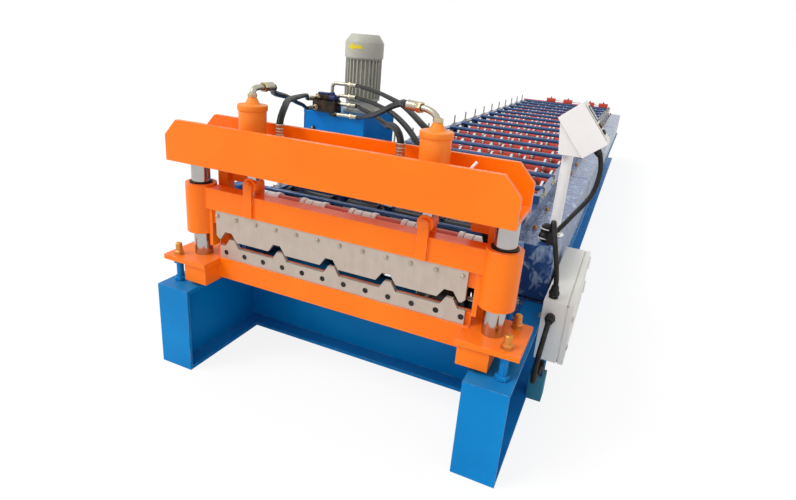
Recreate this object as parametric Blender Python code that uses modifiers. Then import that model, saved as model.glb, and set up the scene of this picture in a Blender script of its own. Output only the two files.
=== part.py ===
# Roll forming machine for ribbed roof sheet, with a hydraulic shear at its outlet.
# Metres, +Z up. X runs across the machine, +Y runs back from the shear along the rolls.
# The origin is on the floor under the middle of the front cross beam.

import math

import bmesh
import bpy
from mathutils import Matrix, Vector

# Fits
seat_gap = 0.0003
run_gap = 0.005
rod_gap = 0.0008

# Base frame of H beams
frame_width = 1.420
rail_height = 0.354
flange_width = 0.150
flange_thickness = 0.014
web_thickness = 0.010
arm_reach = 0.432
end_plate_thickness = 0.012
cross_beam_count = 4
tail_reach = 0.200
front_y = -(arm_reach + flange_width / 2)

# Rows of the roll deck, measured from the front of the frame
first_bar_reach = 0.435
row_pitch = 0.325
row_count = 18
box_beam_rows = (1, 2)
empty_gap_rows = (1,)

# Side plates and what lies on them
side_plate_thickness = 0.018
side_plate_inner = 1.084
side_plate_height = 0.296
side_plate_lead = 0.100
side_plate_tail = 0.090
foot_width = 0.078
foot_thickness = 0.012
column_width = 0.048
column_depth = 0.055
column_height = 0.356
deck_rail_clearance = 0.008
deck_rail_thickness = 0.014
tie_bar_radius = 0.014
bar_block_length = 0.070
bar_block_height = 0.044
box_beam_side = 0.040

# Rolls
pass_line = 0.525
disc_radius = 0.0675
drum_radius = 0.0725
tube_radius = 0.043
journal_radius = 0.025
rib_pitch = 0.224
rib_count = 5
groove_width = 0.078
groove_radius = 0.036
groove_slope = 0.014
disc_width = 0.020
drum_inset = 0.040
bearing_strip_height = 0.060
bearing_strip_depth = 0.020
roll_sides = 8

# Chain guard on the drive side
guard_reach = 0.687
guard_width = 0.140
guard_height = 0.246
guard_chamfer = 0.010

# Shear: places are measured from the front of the frame
pillar_span = 1.202
pillar_reach = 0.148
pillar_radius = 0.036
base_plate_inner = 0.507
base_plate_outer = 0.714
base_plate_front = 0.045
base_plate_back = 0.263
base_plate_thickness = 0.020
base_plate_lift = 0.092
base_block_inner = 0.515
base_block_outer = 0.620
base_block_front = 0.057
base_block_back = 0.180
base_block_drop = 0.074
spacer_radius = 0.014
spacer_inset = 0.034
post_side = 0.044
post_inner = 0.530
post_reach = 0.237
cross_width = 1.291
cross_front = 0.024
cross_back = 0.242
cross_plate = 0.018
cross_bottom = 0.863
cross_shoulder = 0.094
cross_height = 0.152
cross_chamfer = 0.053
lip_drop = 0.002

# Blades and their beams
blade_width = 1.012
blade_thickness = 0.014
blade_corner = 0.012
upper_blade_front = 0.118
upper_blade_height = 0.113
lower_blade_bottom = 0.470
lower_blade_height = 0.052
blade_opening = 0.036
rib_height = 0.032
rib_top_width = 0.025
rib_foot_width = 0.064
notch_growth = 0.006
beam_back = 0.175
ledge_lip = 0.004
lower_beam_bottom = 0.385
lower_beam_top_drop = 0.008
moving_beam_top = 0.755
moving_beam_tail = 0.060
sleeve_radius = 0.059
sleeve_bottom = 0.566
sleeve_top = 0.762
stroke = 0.040
drop_lug_width = 0.016
beam_socket = 0.010
drop_lug_bottom = 0.517

# Cylinders
cylinder_span = 0.690
cylinder_reach = 0.142
cylinder_radius = 0.049
cylinder_height = 0.205
cylinder_cap_height = 0.020
cylinder_cap_growth = 0.004
boss_foot_radius = 0.026
boss_top_radius = 0.011
boss_height = 0.030
cap_bend_reach = 0.075
lower_port_height = 0.045
lower_port_reach = 0.115
port_top = 0.995
rod_radius = 0.0225
rod_top = 0.950
bore_top = 0.965
lug_width = 0.037
lug_thickness = 0.012
lug_top = 0.815
lug_foot = 0.675
eye_radius = 0.028
eye_clearance = 0.0005

# Hydraulic station
tank_left = -1.300
tank_width = 0.490
tank_front = 1.950
tank_depth = 0.500
tank_height = 0.810
motor_from_left = 0.334
motor_from_front = 0.250
motor_radius = 0.138
motor_body_radius = 0.131
motor_flange_radius = 0.134
motor_height = 0.540
motor_cowl_foot = 0.380
motor_body_foot = 0.090
motor_cowl_chamfer = 0.035
manifold_from_left = 0.085
manifold_from_front = -0.030
manifold_size = (0.180, 0.100, 0.080)
valve_size = (0.110, 0.060, 0.052)
terminal_box_size = (0.120, 0.060, 0.130)
port_radius = 0.013
side_port_insets = (0.020, 0.065)
side_port_heights = (0.120, 0.201)
side_port_length = 0.085
flank_port_depths = (0.057, 0.013)
flank_port_heights = (0.065, -0.004)
flank_port_lengths = (0.099, 0.135)
front_port_inset = 0.025
front_port_length = 0.060
front_port_heights = (0.028, 0.095)

# Electric cabinet on the side of the right rail
cabinet_front = 0.500
cabinet_length = 0.655
cabinet_bottom = 0.215
cabinet_height = 0.247
cabinet_depth = 0.105
door_thickness = 0.020
hinge_radius = 0.006
hinge_offset = 0.008
hinge_leaf = 0.006
knuckle_length = 0.030
hinge_inset = 0.030

# Roll drive
drive_reach = 0.470
drive_right = 0.430
drive_length = 0.200
drive_radius = 0.042
drive_foot_height = 0.006
drive_shaft_radius = 0.011
drive_port_places = (0.060, 0.140)
drive_port_reach = 0.070

# Operator's console, standing on the guard
post_radius = 0.0215
console_reach = 0.877
console_post_inset = 0.036
console_post_height = 0.350
console_head_offset = 0.043
console_head_rise = 0.106
console_head_size = (0.187, 0.130, 0.109)
console_head_tilt = 51
console_neck_left = 0.034
console_neck_right = 0.060
console_neck_depth = 0.100

# Glands of the conduits, and the foot beside the right rail
gland_radius = 0.015
gland_length = 0.030
console_gland_place = (0.060, 0.105)
guard_gland_place = (0.032, 0.055)
cabinet_top_gland_place = (0.028, 0.042)
cabinet_front_gland_place = (0.035, 0.185)
foot_reach = 0.537
foot_size = (0.060, 0.070, 0.110)
foot_head_size = (0.040, 0.060, 0.080)

# Entry guide
guide_bar_height = 0.040
guide_block_places = (-0.200, 0.020, 0.300, 0.470)
guide_block_size = (0.110, 0.050, 0.045)

# Hoses and cables
hose_radius = 0.0125
conduit_radius = 0.0105
hose_lead = 0.050
conduit_lead = 0.030
cord_step = 5.5


# Values that follow from the sizes above
half_frame = frame_width / 2
rail_x = half_frame - flange_width / 2
plate_inner = side_plate_inner / 2
plate_outer = plate_inner + side_plate_thickness
plate_bottom = rail_height + seat_gap
plate_top = plate_bottom + side_plate_height
deck_rail_bottom = plate_top + seat_gap
deck_rail_top = deck_rail_bottom + deck_rail_thickness
upper_axis = pass_line + run_gap / 2 + disc_radius
lower_axis = pass_line - run_gap / 2 - drum_radius
base_plate_top = rail_height + base_plate_lift + base_plate_thickness
base_block_bottom = base_plate_top - base_plate_thickness - base_block_drop
upper_blade_bottom = lower_blade_bottom + lower_blade_height + blade_opening
upper_blade_top = upper_blade_bottom + upper_blade_height
upper_blade_back = upper_blade_front + blade_thickness
lower_blade_front = upper_blade_back + run_gap
lower_blade_back = lower_blade_front + blade_thickness
cross_floor = cross_bottom + lip_drop + cross_plate
pillar_x = pillar_span / 2
cylinder_x = cylinder_span / 2
guard_left = plate_outer + seat_gap
guard_right = guard_left + guard_width
guard_top = plate_bottom + guard_height
post_x = guard_right - console_post_inset
pin_axis = lug_top - lug_width / 2
cabinet_left = half_frame + seat_gap


def along(reach):
    return front_y + reach


def bar_y(row):
    return along(first_bar_reach + row_pitch * row)


def row_y(row):
    return bar_y(row) + row_pitch / 2


last_bar_y = bar_y(row_count)
frame_back = last_bar_y + tail_reach
plate_front = bar_y(0) - side_plate_lead
plate_back = last_bar_y + side_plate_tail

for old in list(bpy.data.objects):
    bpy.data.objects.remove(old)

parts = bpy.data.collections.new("roll_forming_machine")
cutters = bpy.data.collections.new("cutters")
bpy.context.scene.collection.children.link(parts)
bpy.context.scene.collection.children.link(cutters)


def paint(name, colour, roughness, metallic=0.0):
    material = bpy.data.materials.new(name)
    material.use_nodes = True
    shader = material.node_tree.nodes["Principled BSDF"]
    shader.inputs["Base Color"].default_value = (*colour, 1.0)
    shader.inputs["Roughness"].default_value = roughness
    shader.inputs["Metallic"].default_value = metallic
    return material


blue_paint = paint("blue_paint", (0.01, 0.20, 0.50), 0.40)
orange_paint = paint("orange_paint", (0.95, 0.22, 0.02), 0.40)
red_paint = paint("red_paint", (0.45, 0.06, 0.05), 0.50)
chrome = paint("chrome", (0.80, 0.80, 0.82), 0.12, 1.0)
blade_steel = paint("blade_steel", (0.50, 0.45, 0.41), 0.45, 0.3)
grey_paint = paint("grey_paint", (0.30, 0.30, 0.29), 0.45)
white_paint = paint("white_paint", (0.80, 0.80, 0.78), 0.40)
zinc_steel = paint("zinc_steel", (0.55, 0.52, 0.45), 0.35, 1.0)
black_rubber = paint("black_rubber", (0.02, 0.02, 0.02), 0.60)


def add_part(name, mesh, material, where=(0, 0, 0)):
    part = bpy.data.objects.new(name, mesh)
    part.location = where
    parts.objects.link(part)
    mesh.materials.clear()
    mesh.materials.append(material)
    return part


def mesh_from(work, name):
    mesh = bpy.data.meshes.new(name)
    bmesh.ops.recalc_face_normals(work, faces=work.faces)
    work.to_mesh(mesh)
    work.free()
    return mesh


def box_mesh(name, low, high):
    work = bmesh.new()
    size = [b - a for a, b in zip(low, high)]
    middle = [(a + b) / 2 for a, b in zip(low, high)]
    place = Matrix.Translation(middle) @ Matrix.Diagonal((*size, 1))
    bmesh.ops.create_cube(work, size=1, matrix=place)
    return mesh_from(work, name)


def rod_mesh(name, radius, start, end, sides=12):
    start = Vector(start)
    end = Vector(end)
    work = bmesh.new()
    turn = (end - start).to_track_quat("Z", "Y").to_matrix().to_4x4()
    place = Matrix.Translation((start + end) / 2) @ turn
    bmesh.ops.create_cone(work, cap_ends=True, segments=sides, radius1=radius, radius2=radius,
                          depth=(end - start).length, matrix=place)
    return mesh_from(work, name)


# A flat outline in the plane of two axes, with holes, given its thickness along the third
def outline_mesh(name, outline, start, end, plane="XZ", holes=()):
    curve = bpy.data.curves.new(name, "CURVE")
    curve.dimensions = "2D"
    curve.fill_mode = "BOTH"
    curve.extrude = abs(end - start) / 2
    for ring in (outline, *holes):
        spline = curve.splines.new("POLY")
        spline.points.add(len(ring) - 1)
        for point, (u, v) in zip(spline.points, ring):
            point.co = (u, v, 0, 1)
        spline.use_cyclic_u = True
    flat = bpy.data.objects.new(name, curve)
    bpy.context.scene.collection.objects.link(flat)
    middle = (start + end) / 2
    if plane == "XZ":
        flat.matrix_world = Matrix.Translation((0, middle, 0)) @ Matrix.Rotation(math.pi / 2, 4, "X")
    elif plane == "YZ":
        turn = Matrix.Rotation(math.pi / 2, 4, "Z") @ Matrix.Rotation(math.pi / 2, 4, "X")
        flat.matrix_world = Matrix.Translation((middle, 0, 0)) @ turn
    else:
        flat.matrix_world = Matrix.Translation((0, 0, middle))
    return solid_from_curve(flat, name)


# The evaluated curve as a closed mesh in world space
def solid_from_curve(curve_object, name):
    bpy.context.view_layer.update()
    evaluated = curve_object.evaluated_get(bpy.context.evaluated_depsgraph_get())
    mesh = bpy.data.meshes.new_from_object(evaluated)
    mesh.name = name
    work = bmesh.new()
    work.from_mesh(mesh)
    bmesh.ops.remove_doubles(work, verts=work.verts, dist=0.00005)
    bmesh.ops.transform(work, matrix=curve_object.matrix_world, verts=work.verts)
    bmesh.ops.recalc_face_normals(work, faces=work.faces)
    work.to_mesh(mesh)
    work.free()
    bpy.data.objects.remove(curve_object)
    return mesh


# Round a turned profile of (radius, height) points, from the top of the outer side down
def turned_mesh(name, profile, sides):
    mesh = bpy.data.meshes.new(name)
    points = [(radius, 0, height) for radius, height in profile]
    mesh.from_pydata(points, [(i, i + 1) for i in range(len(points) - 1)], [])
    blank = bpy.data.objects.new(name, mesh)
    bpy.context.scene.collection.objects.link(blank)
    screw = blank.modifiers.new("turn", "SCREW")
    screw.steps = sides
    screw.render_steps = sides
    screw.use_merge_vertices = True
    screw.merge_threshold = 0.00005
    bpy.context.view_layer.update()
    evaluated = blank.evaluated_get(bpy.context.evaluated_depsgraph_get())
    turned = bpy.data.meshes.new_from_object(evaluated)
    turned.name = name
    bpy.data.objects.remove(blank)
    return turned


def moved(mesh, matrix):
    mesh.transform(matrix)
    return mesh


def smooth(mesh):
    mesh.shade_smooth()
    mesh.set_sharp_from_angle(angle=math.radians(40))
    return mesh


def combined(name, first, others, operation):
    base = bpy.data.objects.new(name, first)
    bpy.context.scene.collection.objects.link(base)
    for index, other in enumerate(others):
        tool = bpy.data.objects.new(f"{name}_tool_{index}", other)
        tool.hide_render = True
        tool.display_type = "WIRE"
        cutters.objects.link(tool)
        step = base.modifiers.new(operation, "BOOLEAN")
        step.operation = operation
        step.solver = "EXACT"
        step.object = tool
        bpy.context.view_layer.update()
        evaluated = base.evaluated_get(bpy.context.evaluated_depsgraph_get())
        result = bpy.data.meshes.new_from_object(evaluated)
        base.modifiers.clear()
        base.data = result
        bpy.data.objects.remove(tool)
    mesh = base.data
    mesh.name = name
    bpy.data.objects.remove(base)
    return mesh


def joined(name, first, *others):
    return combined(name, first, others, "UNION")


def cut(name, first, *others):
    return combined(name, first, others, "DIFFERENCE")


# A short pipe through a few points
def tube_mesh(name, points, radius):
    curve = bpy.data.curves.new(name, "CURVE")
    curve.dimensions = "3D"
    curve.bevel_depth = radius
    curve.bevel_resolution = 2
    curve.use_fill_caps = True
    spline = curve.splines.new("POLY")
    spline.points.add(len(points) - 1)
    for point, place in zip(spline.points, points):
        point.co = (*place, 1)
    tube = bpy.data.objects.new(name, curve)
    bpy.context.scene.collection.objects.link(tube)
    return solid_from_curve(tube, name)


# A hose or cable through hand-chosen points: straight at both ends, a smooth curve between
def cord_mesh(name, route, radius):
    stations = [Vector(point) for point in route]
    fine = [stations[0]]
    for a, b, c, d in zip(stations, stations[1:], stations[2:], stations[3:]):
        count = max(2, round((c - b).length / (cord_step * radius)))
        for step in range(count):
            t = step / count
            fine.append(0.5 * (2 * b + (c - a) * t + (2 * a - 5 * b + 4 * c - d) * t ** 2
                               + (3 * b - a - 3 * c + d) * t ** 3))
    fine += stations[-2:]
    return tube_mesh(name, fine, radius)


def rectangle(left, bottom, right, top):
    return [(left, bottom), (right, bottom), (right, top), (left, top)]


# Ends of the glands with the way each conduit leaves
def foot_gland():
    middle = half_frame + foot_size[0] / 2 - 0.005
    z = foot_size[2] + foot_head_size[2] / 2
    return Vector((middle, along(foot_reach) - gland_length + 0.005, z)), Vector((0, -1, 0))


def guard_glands():
    right, back = console_gland_place
    way = Vector((1, 0, 1)).normalized()
    first = Vector((guard_right - right, along(guard_reach) + back, guard_top)) + way * gland_length
    right, back = guard_gland_place
    second = Vector((guard_right - right, along(guard_reach) + back, guard_top + gland_length))
    return (first, way), (second, Vector((0, 0, 1)))


def cabinet_glands():
    front = along(cabinet_front)
    right, back = cabinet_top_gland_place
    top = Vector((cabinet_left + right, front + back, cabinet_bottom + cabinet_height + gland_length))
    right, rise = cabinet_front_gland_place
    face = Vector((cabinet_left + right, front - gland_length, cabinet_bottom + rise))
    return (top, Vector((0, 0, 1))), (face, Vector((0, -1, 0)))


def console_axis():
    turn = Matrix.Rotation(math.radians(console_head_tilt), 4, "Y")
    centre = Vector((post_x + console_head_offset, along(console_reach),
                     guard_top + seat_gap + console_post_height + console_head_rise))
    return Matrix.Translation(centre) @ turn


# Base frame: two long rails and the beams between them, all of H section, welded to one piece
def flange_plan():
    step = (frame_back - flange_width) / (cross_beam_count - 1)
    beams = [index * step for index in range(cross_beam_count)]
    beams[-1] = frame_back - flange_width / 2
    holes = []
    for near, far in zip(beams, beams[1:]):
        holes.append(rectangle(-half_frame + flange_width, near + flange_width / 2,
                               half_frame - flange_width, far - flange_width / 2))
    return beams, holes


def base_frame():
    beams, holes = flange_plan()
    arm_back = beams[0] - flange_width / 2
    arm_front = front_y + end_plate_thickness
    arm_inner = half_frame - flange_width
    outline = [(-half_frame, arm_front - 0.002), (-arm_inner, arm_front - 0.002), (-arm_inner, arm_back),
               (arm_inner, arm_back), (arm_inner, arm_front - 0.002), (half_frame, arm_front - 0.002),
               (half_frame, frame_back), (-half_frame, frame_back)]
    bottom = outline_mesh("bottom_flange", outline, 0, flange_thickness, "XY", holes)
    top = outline_mesh("top_flange", outline, rail_height - flange_thickness, rail_height, "XY", holes)
    web_low = flange_thickness - 0.002
    web_high = rail_height - flange_thickness + 0.002
    pieces = [top]
    for side in (-1, 1):
        x = side * rail_x
        pieces.append(box_mesh("web", (x - web_thickness / 2, arm_front - 0.003, web_low),
                               (x + web_thickness / 2, frame_back - 0.003, web_high)))
    for y in beams:
        pieces.append(box_mesh("web", (-rail_x, y - web_thickness / 2, web_low),
                               (rail_x, y + web_thickness / 2, web_high)))
    for side in (-1, 1):
        inner = side * arm_inner
        outer = side * half_frame
        pieces.append(box_mesh("end_plate", (min(inner, outer), front_y, 0),
                               (max(inner, outer), arm_front, rail_height)))
        for reach in (base_plate_front + spacer_inset, base_plate_back - spacer_inset):
            x = side * (base_plate_outer - spacer_inset - spacer_radius)
            pieces.append(rod_mesh("spacer", spacer_radius, (x, along(reach), rail_height - 0.004),
                                   (x, along(reach), base_plate_top - base_plate_thickness - seat_gap), 10))
    width, depth, height = foot_size
    head_width, head_depth, head_height = foot_head_size
    middle = half_frame + width / 2 - 0.005
    front = along(foot_reach)
    pieces.append(box_mesh("foot", (middle - width / 2, front, 0), (middle + width / 2, front + depth, height)))
    pieces.append(box_mesh("foot_head", (middle - head_width / 2, front + 0.005, height - 0.002),
                           (middle + head_width / 2, front + 0.005 + head_depth, height + head_height)))
    start, way = foot_gland()
    pieces.append(rod_mesh("gland", gland_radius, start - way * (gland_length + 0.01), start, 10))
    add_part("base_frame", joined("base_frame", bottom, *pieces), blue_paint)


# Side plates of the roll deck, each with a foot on the rail and a column at its front end
def side_plates():
    foot_top = plate_bottom + foot_thickness
    foot_outer = plate_inner + foot_width
    section = [(plate_inner, plate_bottom), (foot_outer, plate_bottom), (foot_outer, foot_top),
               (plate_outer, foot_top), (plate_outer, plate_top), (plate_inner, plate_top)]
    for side, word in ((-1, "left"), (1, "right")):
        plate = outline_mesh("plate", [(side * x, z) for x, z in section], plate_front, plate_back)
        low = min(side * (foot_outer - column_width), side * foot_outer)
        column = box_mesh("column", (low, plate_front, plate_bottom + 0.002),
                          (low + column_width, plate_front + column_depth, plate_bottom + column_height))
        add_part(f"side_plate_{word}", joined(f"side_plate_{word}", plate, column), blue_paint)


# Rails on the side plates with the tie bars between them
def tie_bar_ladder():
    inner = rib_places()[-1] + groove_width / 2 + disc_width + deck_rail_clearance
    pieces = []
    for side in (-1, 1):
        low = min(side * inner, side * plate_outer)
        high = max(side * inner, side * plate_outer)
        pieces.append(box_mesh("deck_rail", (low, plate_front, deck_rail_bottom),
                               (high, plate_back, deck_rail_top)))
        pieces.append(box_mesh("bar_block", (low + 0.004, plate_front + 0.004, deck_rail_bottom + 0.002),
                               (high - 0.004, plate_front + bar_block_length,
                                deck_rail_bottom + bar_block_height)))
    bar_z = (deck_rail_bottom + deck_rail_top) / 2
    for row in range(row_count + 1):
        if row in box_beam_rows:
            continue
        pieces.append(rod_mesh("tie_bar", tie_bar_radius, (-inner - 0.02, bar_y(row), bar_z),
                               (inner + 0.02, bar_y(row), bar_z), 8))
    for row in box_beam_rows:
        reach = plate_outer - 0.003
        pieces.append(box_mesh("box_beam", (-reach, bar_y(row) - box_beam_side / 2, deck_rail_top - 0.002),
                               (reach, bar_y(row) + box_beam_side / 2, deck_rail_top + box_beam_side)))
    add_part("tie_bar_ladder", joined("tie_bar_ladder", *pieces), blue_paint)


def rib_places():
    first = -rib_pitch * (rib_count - 1) / 2
    return [first + rib_pitch * index for index in range(rib_count)]


# Upper shaft: a spacer tube with a pair of discs on both sides of each rib's groove
def upper_rolls():
    half = plate_inner - seat_gap
    tube_half = plate_inner - drum_inset
    profile = [(0, half), (journal_radius, half), (journal_radius, tube_half), (tube_radius, tube_half)]
    groove_edge = groove_width / 2
    groove_floor = groove_edge - groove_slope
    for place in reversed(rib_places()):
        top = place + groove_edge + disc_width
        bottom = place - groove_edge - disc_width
        profile += [(tube_radius, top), (disc_radius, top), (disc_radius, place + groove_edge),
                    (groove_radius, place + groove_floor), (groove_radius, place - groove_floor),
                    (disc_radius, place - groove_edge), (disc_radius, bottom), (tube_radius, bottom)]
    profile += [(tube_radius, -tube_half), (journal_radius, -tube_half), (journal_radius, -half), (0, -half)]
    turn = Matrix.Rotation(math.pi / 2, 4, "Y")
    rows = [row for row in range(row_count) if row not in empty_gap_rows]
    for number, row in enumerate(rows, 1):
        mesh = moved(turned_mesh("upper_roll", profile, roll_sides), turn)
        add_part(f"upper_roll_{number:02d}", smooth(mesh), red_paint, (0, row_y(row), upper_axis))


# Lower shafts with the bearing strips that carry them
def lower_roll_bed():
    rows = [row for row in range(row_count) if row not in empty_gap_rows]
    strip_inner = plate_inner - seat_gap - bearing_strip_depth
    pieces = []
    for side in (-1, 1):
        low = min(side * strip_inner, side * (plate_inner - seat_gap))
        high = max(side * strip_inner, side * (plate_inner - seat_gap))
        pieces.append(box_mesh("strip", (low, plate_front + 0.05, lower_axis - bearing_strip_height / 2),
                               (high, plate_back - 0.02, lower_axis + bearing_strip_height / 2)))
    half = strip_inner + 0.008
    drum_half = plate_inner - drum_inset
    profile = [(0, half), (journal_radius, half), (journal_radius, drum_half), (drum_radius, drum_half),
               (drum_radius, -drum_half), (journal_radius, -drum_half), (journal_radius, -half), (0, -half)]
    turn = Matrix.Rotation(math.pi / 2, 4, "Y")
    for row in rows:
        place = Matrix.Translation((0, row_y(row), lower_axis))
        pieces.append(moved(turned_mesh("lower_roll", profile, roll_sides), place @ turn))
    add_part("lower_roll_bed", joined("lower_roll_bed", *pieces), red_paint)


# Chain guard along the drive side, over the foot of the right side plate, with two cable glands
def chain_guard():
    step_bottom = plate_bottom + foot_thickness + seat_gap
    step_right = plate_inner + foot_width + seat_gap
    section = [(guard_left, step_bottom), (step_right, step_bottom), (step_right, plate_bottom),
               (guard_right, plate_bottom), (guard_right, guard_top - guard_chamfer),
               (guard_right - guard_chamfer, guard_top), (guard_left, guard_top)]
    cover = outline_mesh("cover", section, along(guard_reach), plate_back)
    glands = []
    for end, way in guard_glands():
        glands.append(rod_mesh("gland", gland_radius, end - way * (gland_length + 0.012), end, 10))
    add_part("chain_guard", joined("chain_guard", cover, *glands), blue_paint)


# Entry guide on the far end of the deck
def entry_guide():
    y = last_bar_y + 0.060
    low = (-plate_outer, y - guide_bar_height / 2, deck_rail_top + seat_gap)
    high = (plate_outer, y + guide_bar_height / 2, deck_rail_top + seat_gap + 0.012)
    bar = box_mesh("guide_bar", low, high)
    width, depth, height = guide_block_size
    blocks = []
    for x in guide_block_places:
        blocks.append(box_mesh("guide_block", (x - width / 2, y - depth / 2, high[2] - 0.004),
                               (x + width / 2, y + depth / 2, high[2] + height)))
    add_part("entry_guide", joined("entry_guide", bar, *blocks), red_paint)


# Fixed lower half of the shear: base plates, blocks, lower beam and rear posts, welded together
def lower_shear_frame():
    pieces = []
    plate_low = base_plate_top - base_plate_thickness
    post_high = cross_bottom - seat_gap
    for side in (-1, 1):
        def span(a, b):
            return min(side * a, side * b), max(side * a, side * b)
        low, high = span(base_plate_inner, base_plate_outer)
        pieces.append(box_mesh("base_plate", (low, along(base_plate_front), plate_low),
                               (high, along(base_plate_back), base_plate_top)))
        low, high = span(base_block_inner, base_block_outer)
        pieces.append(box_mesh("base_block", (low, along(base_block_front), base_block_bottom),
                               (high, along(base_block_back), plate_low + 0.010)))
        low, high = span(post_inner, post_inner + post_side)
        pieces.append(box_mesh("post", (low, along(post_reach - post_side / 2), plate_low + 0.005),
                               (high, along(post_reach + post_side / 2), post_high)))
    ledge_front = along(lower_blade_front - ledge_lip)
    blade_back = along(lower_blade_back) + seat_gap
    ledge_top = lower_blade_bottom - seat_gap
    beam_top = lower_blade_bottom + lower_blade_height - lower_beam_top_drop
    section = [(ledge_front, lower_beam_bottom), (along(beam_back), lower_beam_bottom),
               (along(beam_back), beam_top), (blade_back, beam_top), (blade_back, ledge_top),
               (ledge_front, ledge_top)]
    reach = base_block_inner + beam_socket
    beam = outline_mesh("lower_beam", section, -reach, reach, "YZ")
    add_part("lower_shear_frame", joined("lower_shear_frame", beam, *pieces), orange_paint)


# The edge of a blade: flat pans with a rib at each rib place, run from left to right
def rib_edge(level, grow):
    points = []
    for place in rib_places():
        foot = rib_foot_width / 2 + grow
        top = rib_top_width / 2 + grow / 2
        points += [(place - foot, level), (place - top, level + rib_height),
                   (place + top, level + rib_height), (place + foot, level)]
    return points


def blades():
    half = blade_width / 2
    level = lower_blade_bottom + lower_blade_height
    outline = [(-half, lower_blade_bottom), (half, lower_blade_bottom), (half, level)]
    outline += list(reversed(rib_edge(level, 0))) + [(-half, level)]
    mesh = outline_mesh("lower_blade", outline, along(lower_blade_front), along(lower_blade_back))
    add_part("lower_blade", mesh, blade_steel)
    outline = [(-half, upper_blade_bottom + blade_corner), (-half + blade_corner, upper_blade_bottom)]
    outline += rib_edge(upper_blade_bottom, notch_growth)
    outline += [(half - blade_corner, upper_blade_bottom), (half, upper_blade_bottom + blade_corner),
                (half, upper_blade_top), (-half, upper_blade_top)]
    mesh = outline_mesh("upper_blade", outline, along(upper_blade_front), along(upper_blade_back))
    add_part("upper_blade", mesh, blade_steel)


def pillars():
    for side, word in ((-1, "left"), (1, "right")):
        mesh = rod_mesh("pillar", pillar_radius,
                        (side * pillar_x, along(pillar_reach), base_plate_top + seat_gap),
                        (side * pillar_x, along(pillar_reach), cross_bottom + lip_drop - seat_gap), 16)
        add_part(f"pillar_{word}", smooth(mesh), chrome)


# Upper crossbeam: a channel, open at the top, with cut shoulders
def upper_crossbeam():
    half = cross_width / 2
    shoulder = cross_bottom + cross_shoulder
    top = cross_bottom + cross_height
    face = [(-half, cross_bottom), (half, cross_bottom), (half, shoulder), (half - cross_chamfer, top),
            (-half + cross_chamfer, top), (-half, shoulder)]
    front = outline_mesh("front", face, along(cross_front), along(cross_front) + cross_plate)
    back = outline_mesh("back", face, along(cross_back) - cross_plate, along(cross_back))
    floor = box_mesh("floor", (-half + 0.002, along(cross_front) + 0.006, cross_bottom + lip_drop),
                     (half - 0.002, along(cross_back) - 0.006, cross_floor))
    body = joined("upper_crossbeam", front, back, floor)
    holes = []
    for side in (-1, 1):
        x = side * cylinder_x
        holes.append(rod_mesh("hole", rod_radius + 2 * rod_gap, (x, along(cylinder_reach), cross_bottom - 0.02),
                              (x, along(cylinder_reach), cross_floor + 0.02), 16))
    add_part("upper_crossbeam", cut("upper_crossbeam", body, *holes), orange_paint)


# Pipe bend on a cylinder's cap and elbow from its lower port, from the cylinder's axis
def cylinder_pipes(side):
    bottom = cross_floor + seat_gap
    boss = bottom + cylinder_height + boss_height
    port_z = bottom + lower_port_height
    out = -side
    if side < 0:
        bend = [(0, 0, boss - 0.010), (0, 0, boss + 0.006), (0, 0.006, boss + 0.020),
                (0, 0.021, boss + 0.026), (0, cap_bend_reach, boss + 0.026)]
    else:
        bend = [(0, 0, boss - 0.010), (-0.004, 0, boss + 0.006), (-0.020, 0.004, boss + 0.021),
                (-0.042, 0.009, boss + 0.029), (-cap_bend_reach, 0.018, boss + 0.031)]
    elbow = [(out * (cylinder_radius - 0.010), 0, port_z), (out * (lower_port_reach - 0.021), 0, port_z),
             (out * (lower_port_reach - 0.006), 0, port_z + 0.006),
             (out * lower_port_reach, 0, port_z + 0.021), (out * lower_port_reach, 0, port_top)]
    return bend, elbow


# Where a hose meets a pipe's end, and the way it leaves
def hose_start(pipe, offset=(0, 0, 0)):
    last = Vector(pipe[-1])
    way = (last - Vector(pipe[-2])).normalized()
    return last + Vector(offset) + way * seat_gap, way


def cylinders():
    bottom = cross_floor + seat_gap
    top = bottom + cylinder_height
    cap = cylinder_radius + cylinder_cap_growth
    bore = rod_radius + rod_gap
    profile = [(0, top + boss_height), (boss_top_radius, top + boss_height), (boss_foot_radius, top),
               (cap, top), (cap, top - cylinder_cap_height), (cylinder_radius, top - cylinder_cap_height),
               (cylinder_radius, bottom), (bore, bottom), (bore, bore_top), (0, bore_top)]
    for side, word in ((-1, "left"), (1, "right")):
        bend, elbow = cylinder_pipes(side)
        mesh = joined("cylinder", turned_mesh("cylinder", profile, 16),
                      tube_mesh("bend", bend, port_radius), tube_mesh("elbow", elbow, port_radius))
        add_part(f"cylinder_{word}", smooth(mesh), orange_paint, (side * cylinder_x, along(cylinder_reach), 0))


# The rounded top of a clevis lug, run from right to left about the pin's axis
def clevis_arc(x, radius):
    turns = [math.pi * step / 6 for step in range(7)]
    return [(x + radius * math.cos(turn), pin_axis + radius * math.sin(turn)) for turn in turns]


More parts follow.
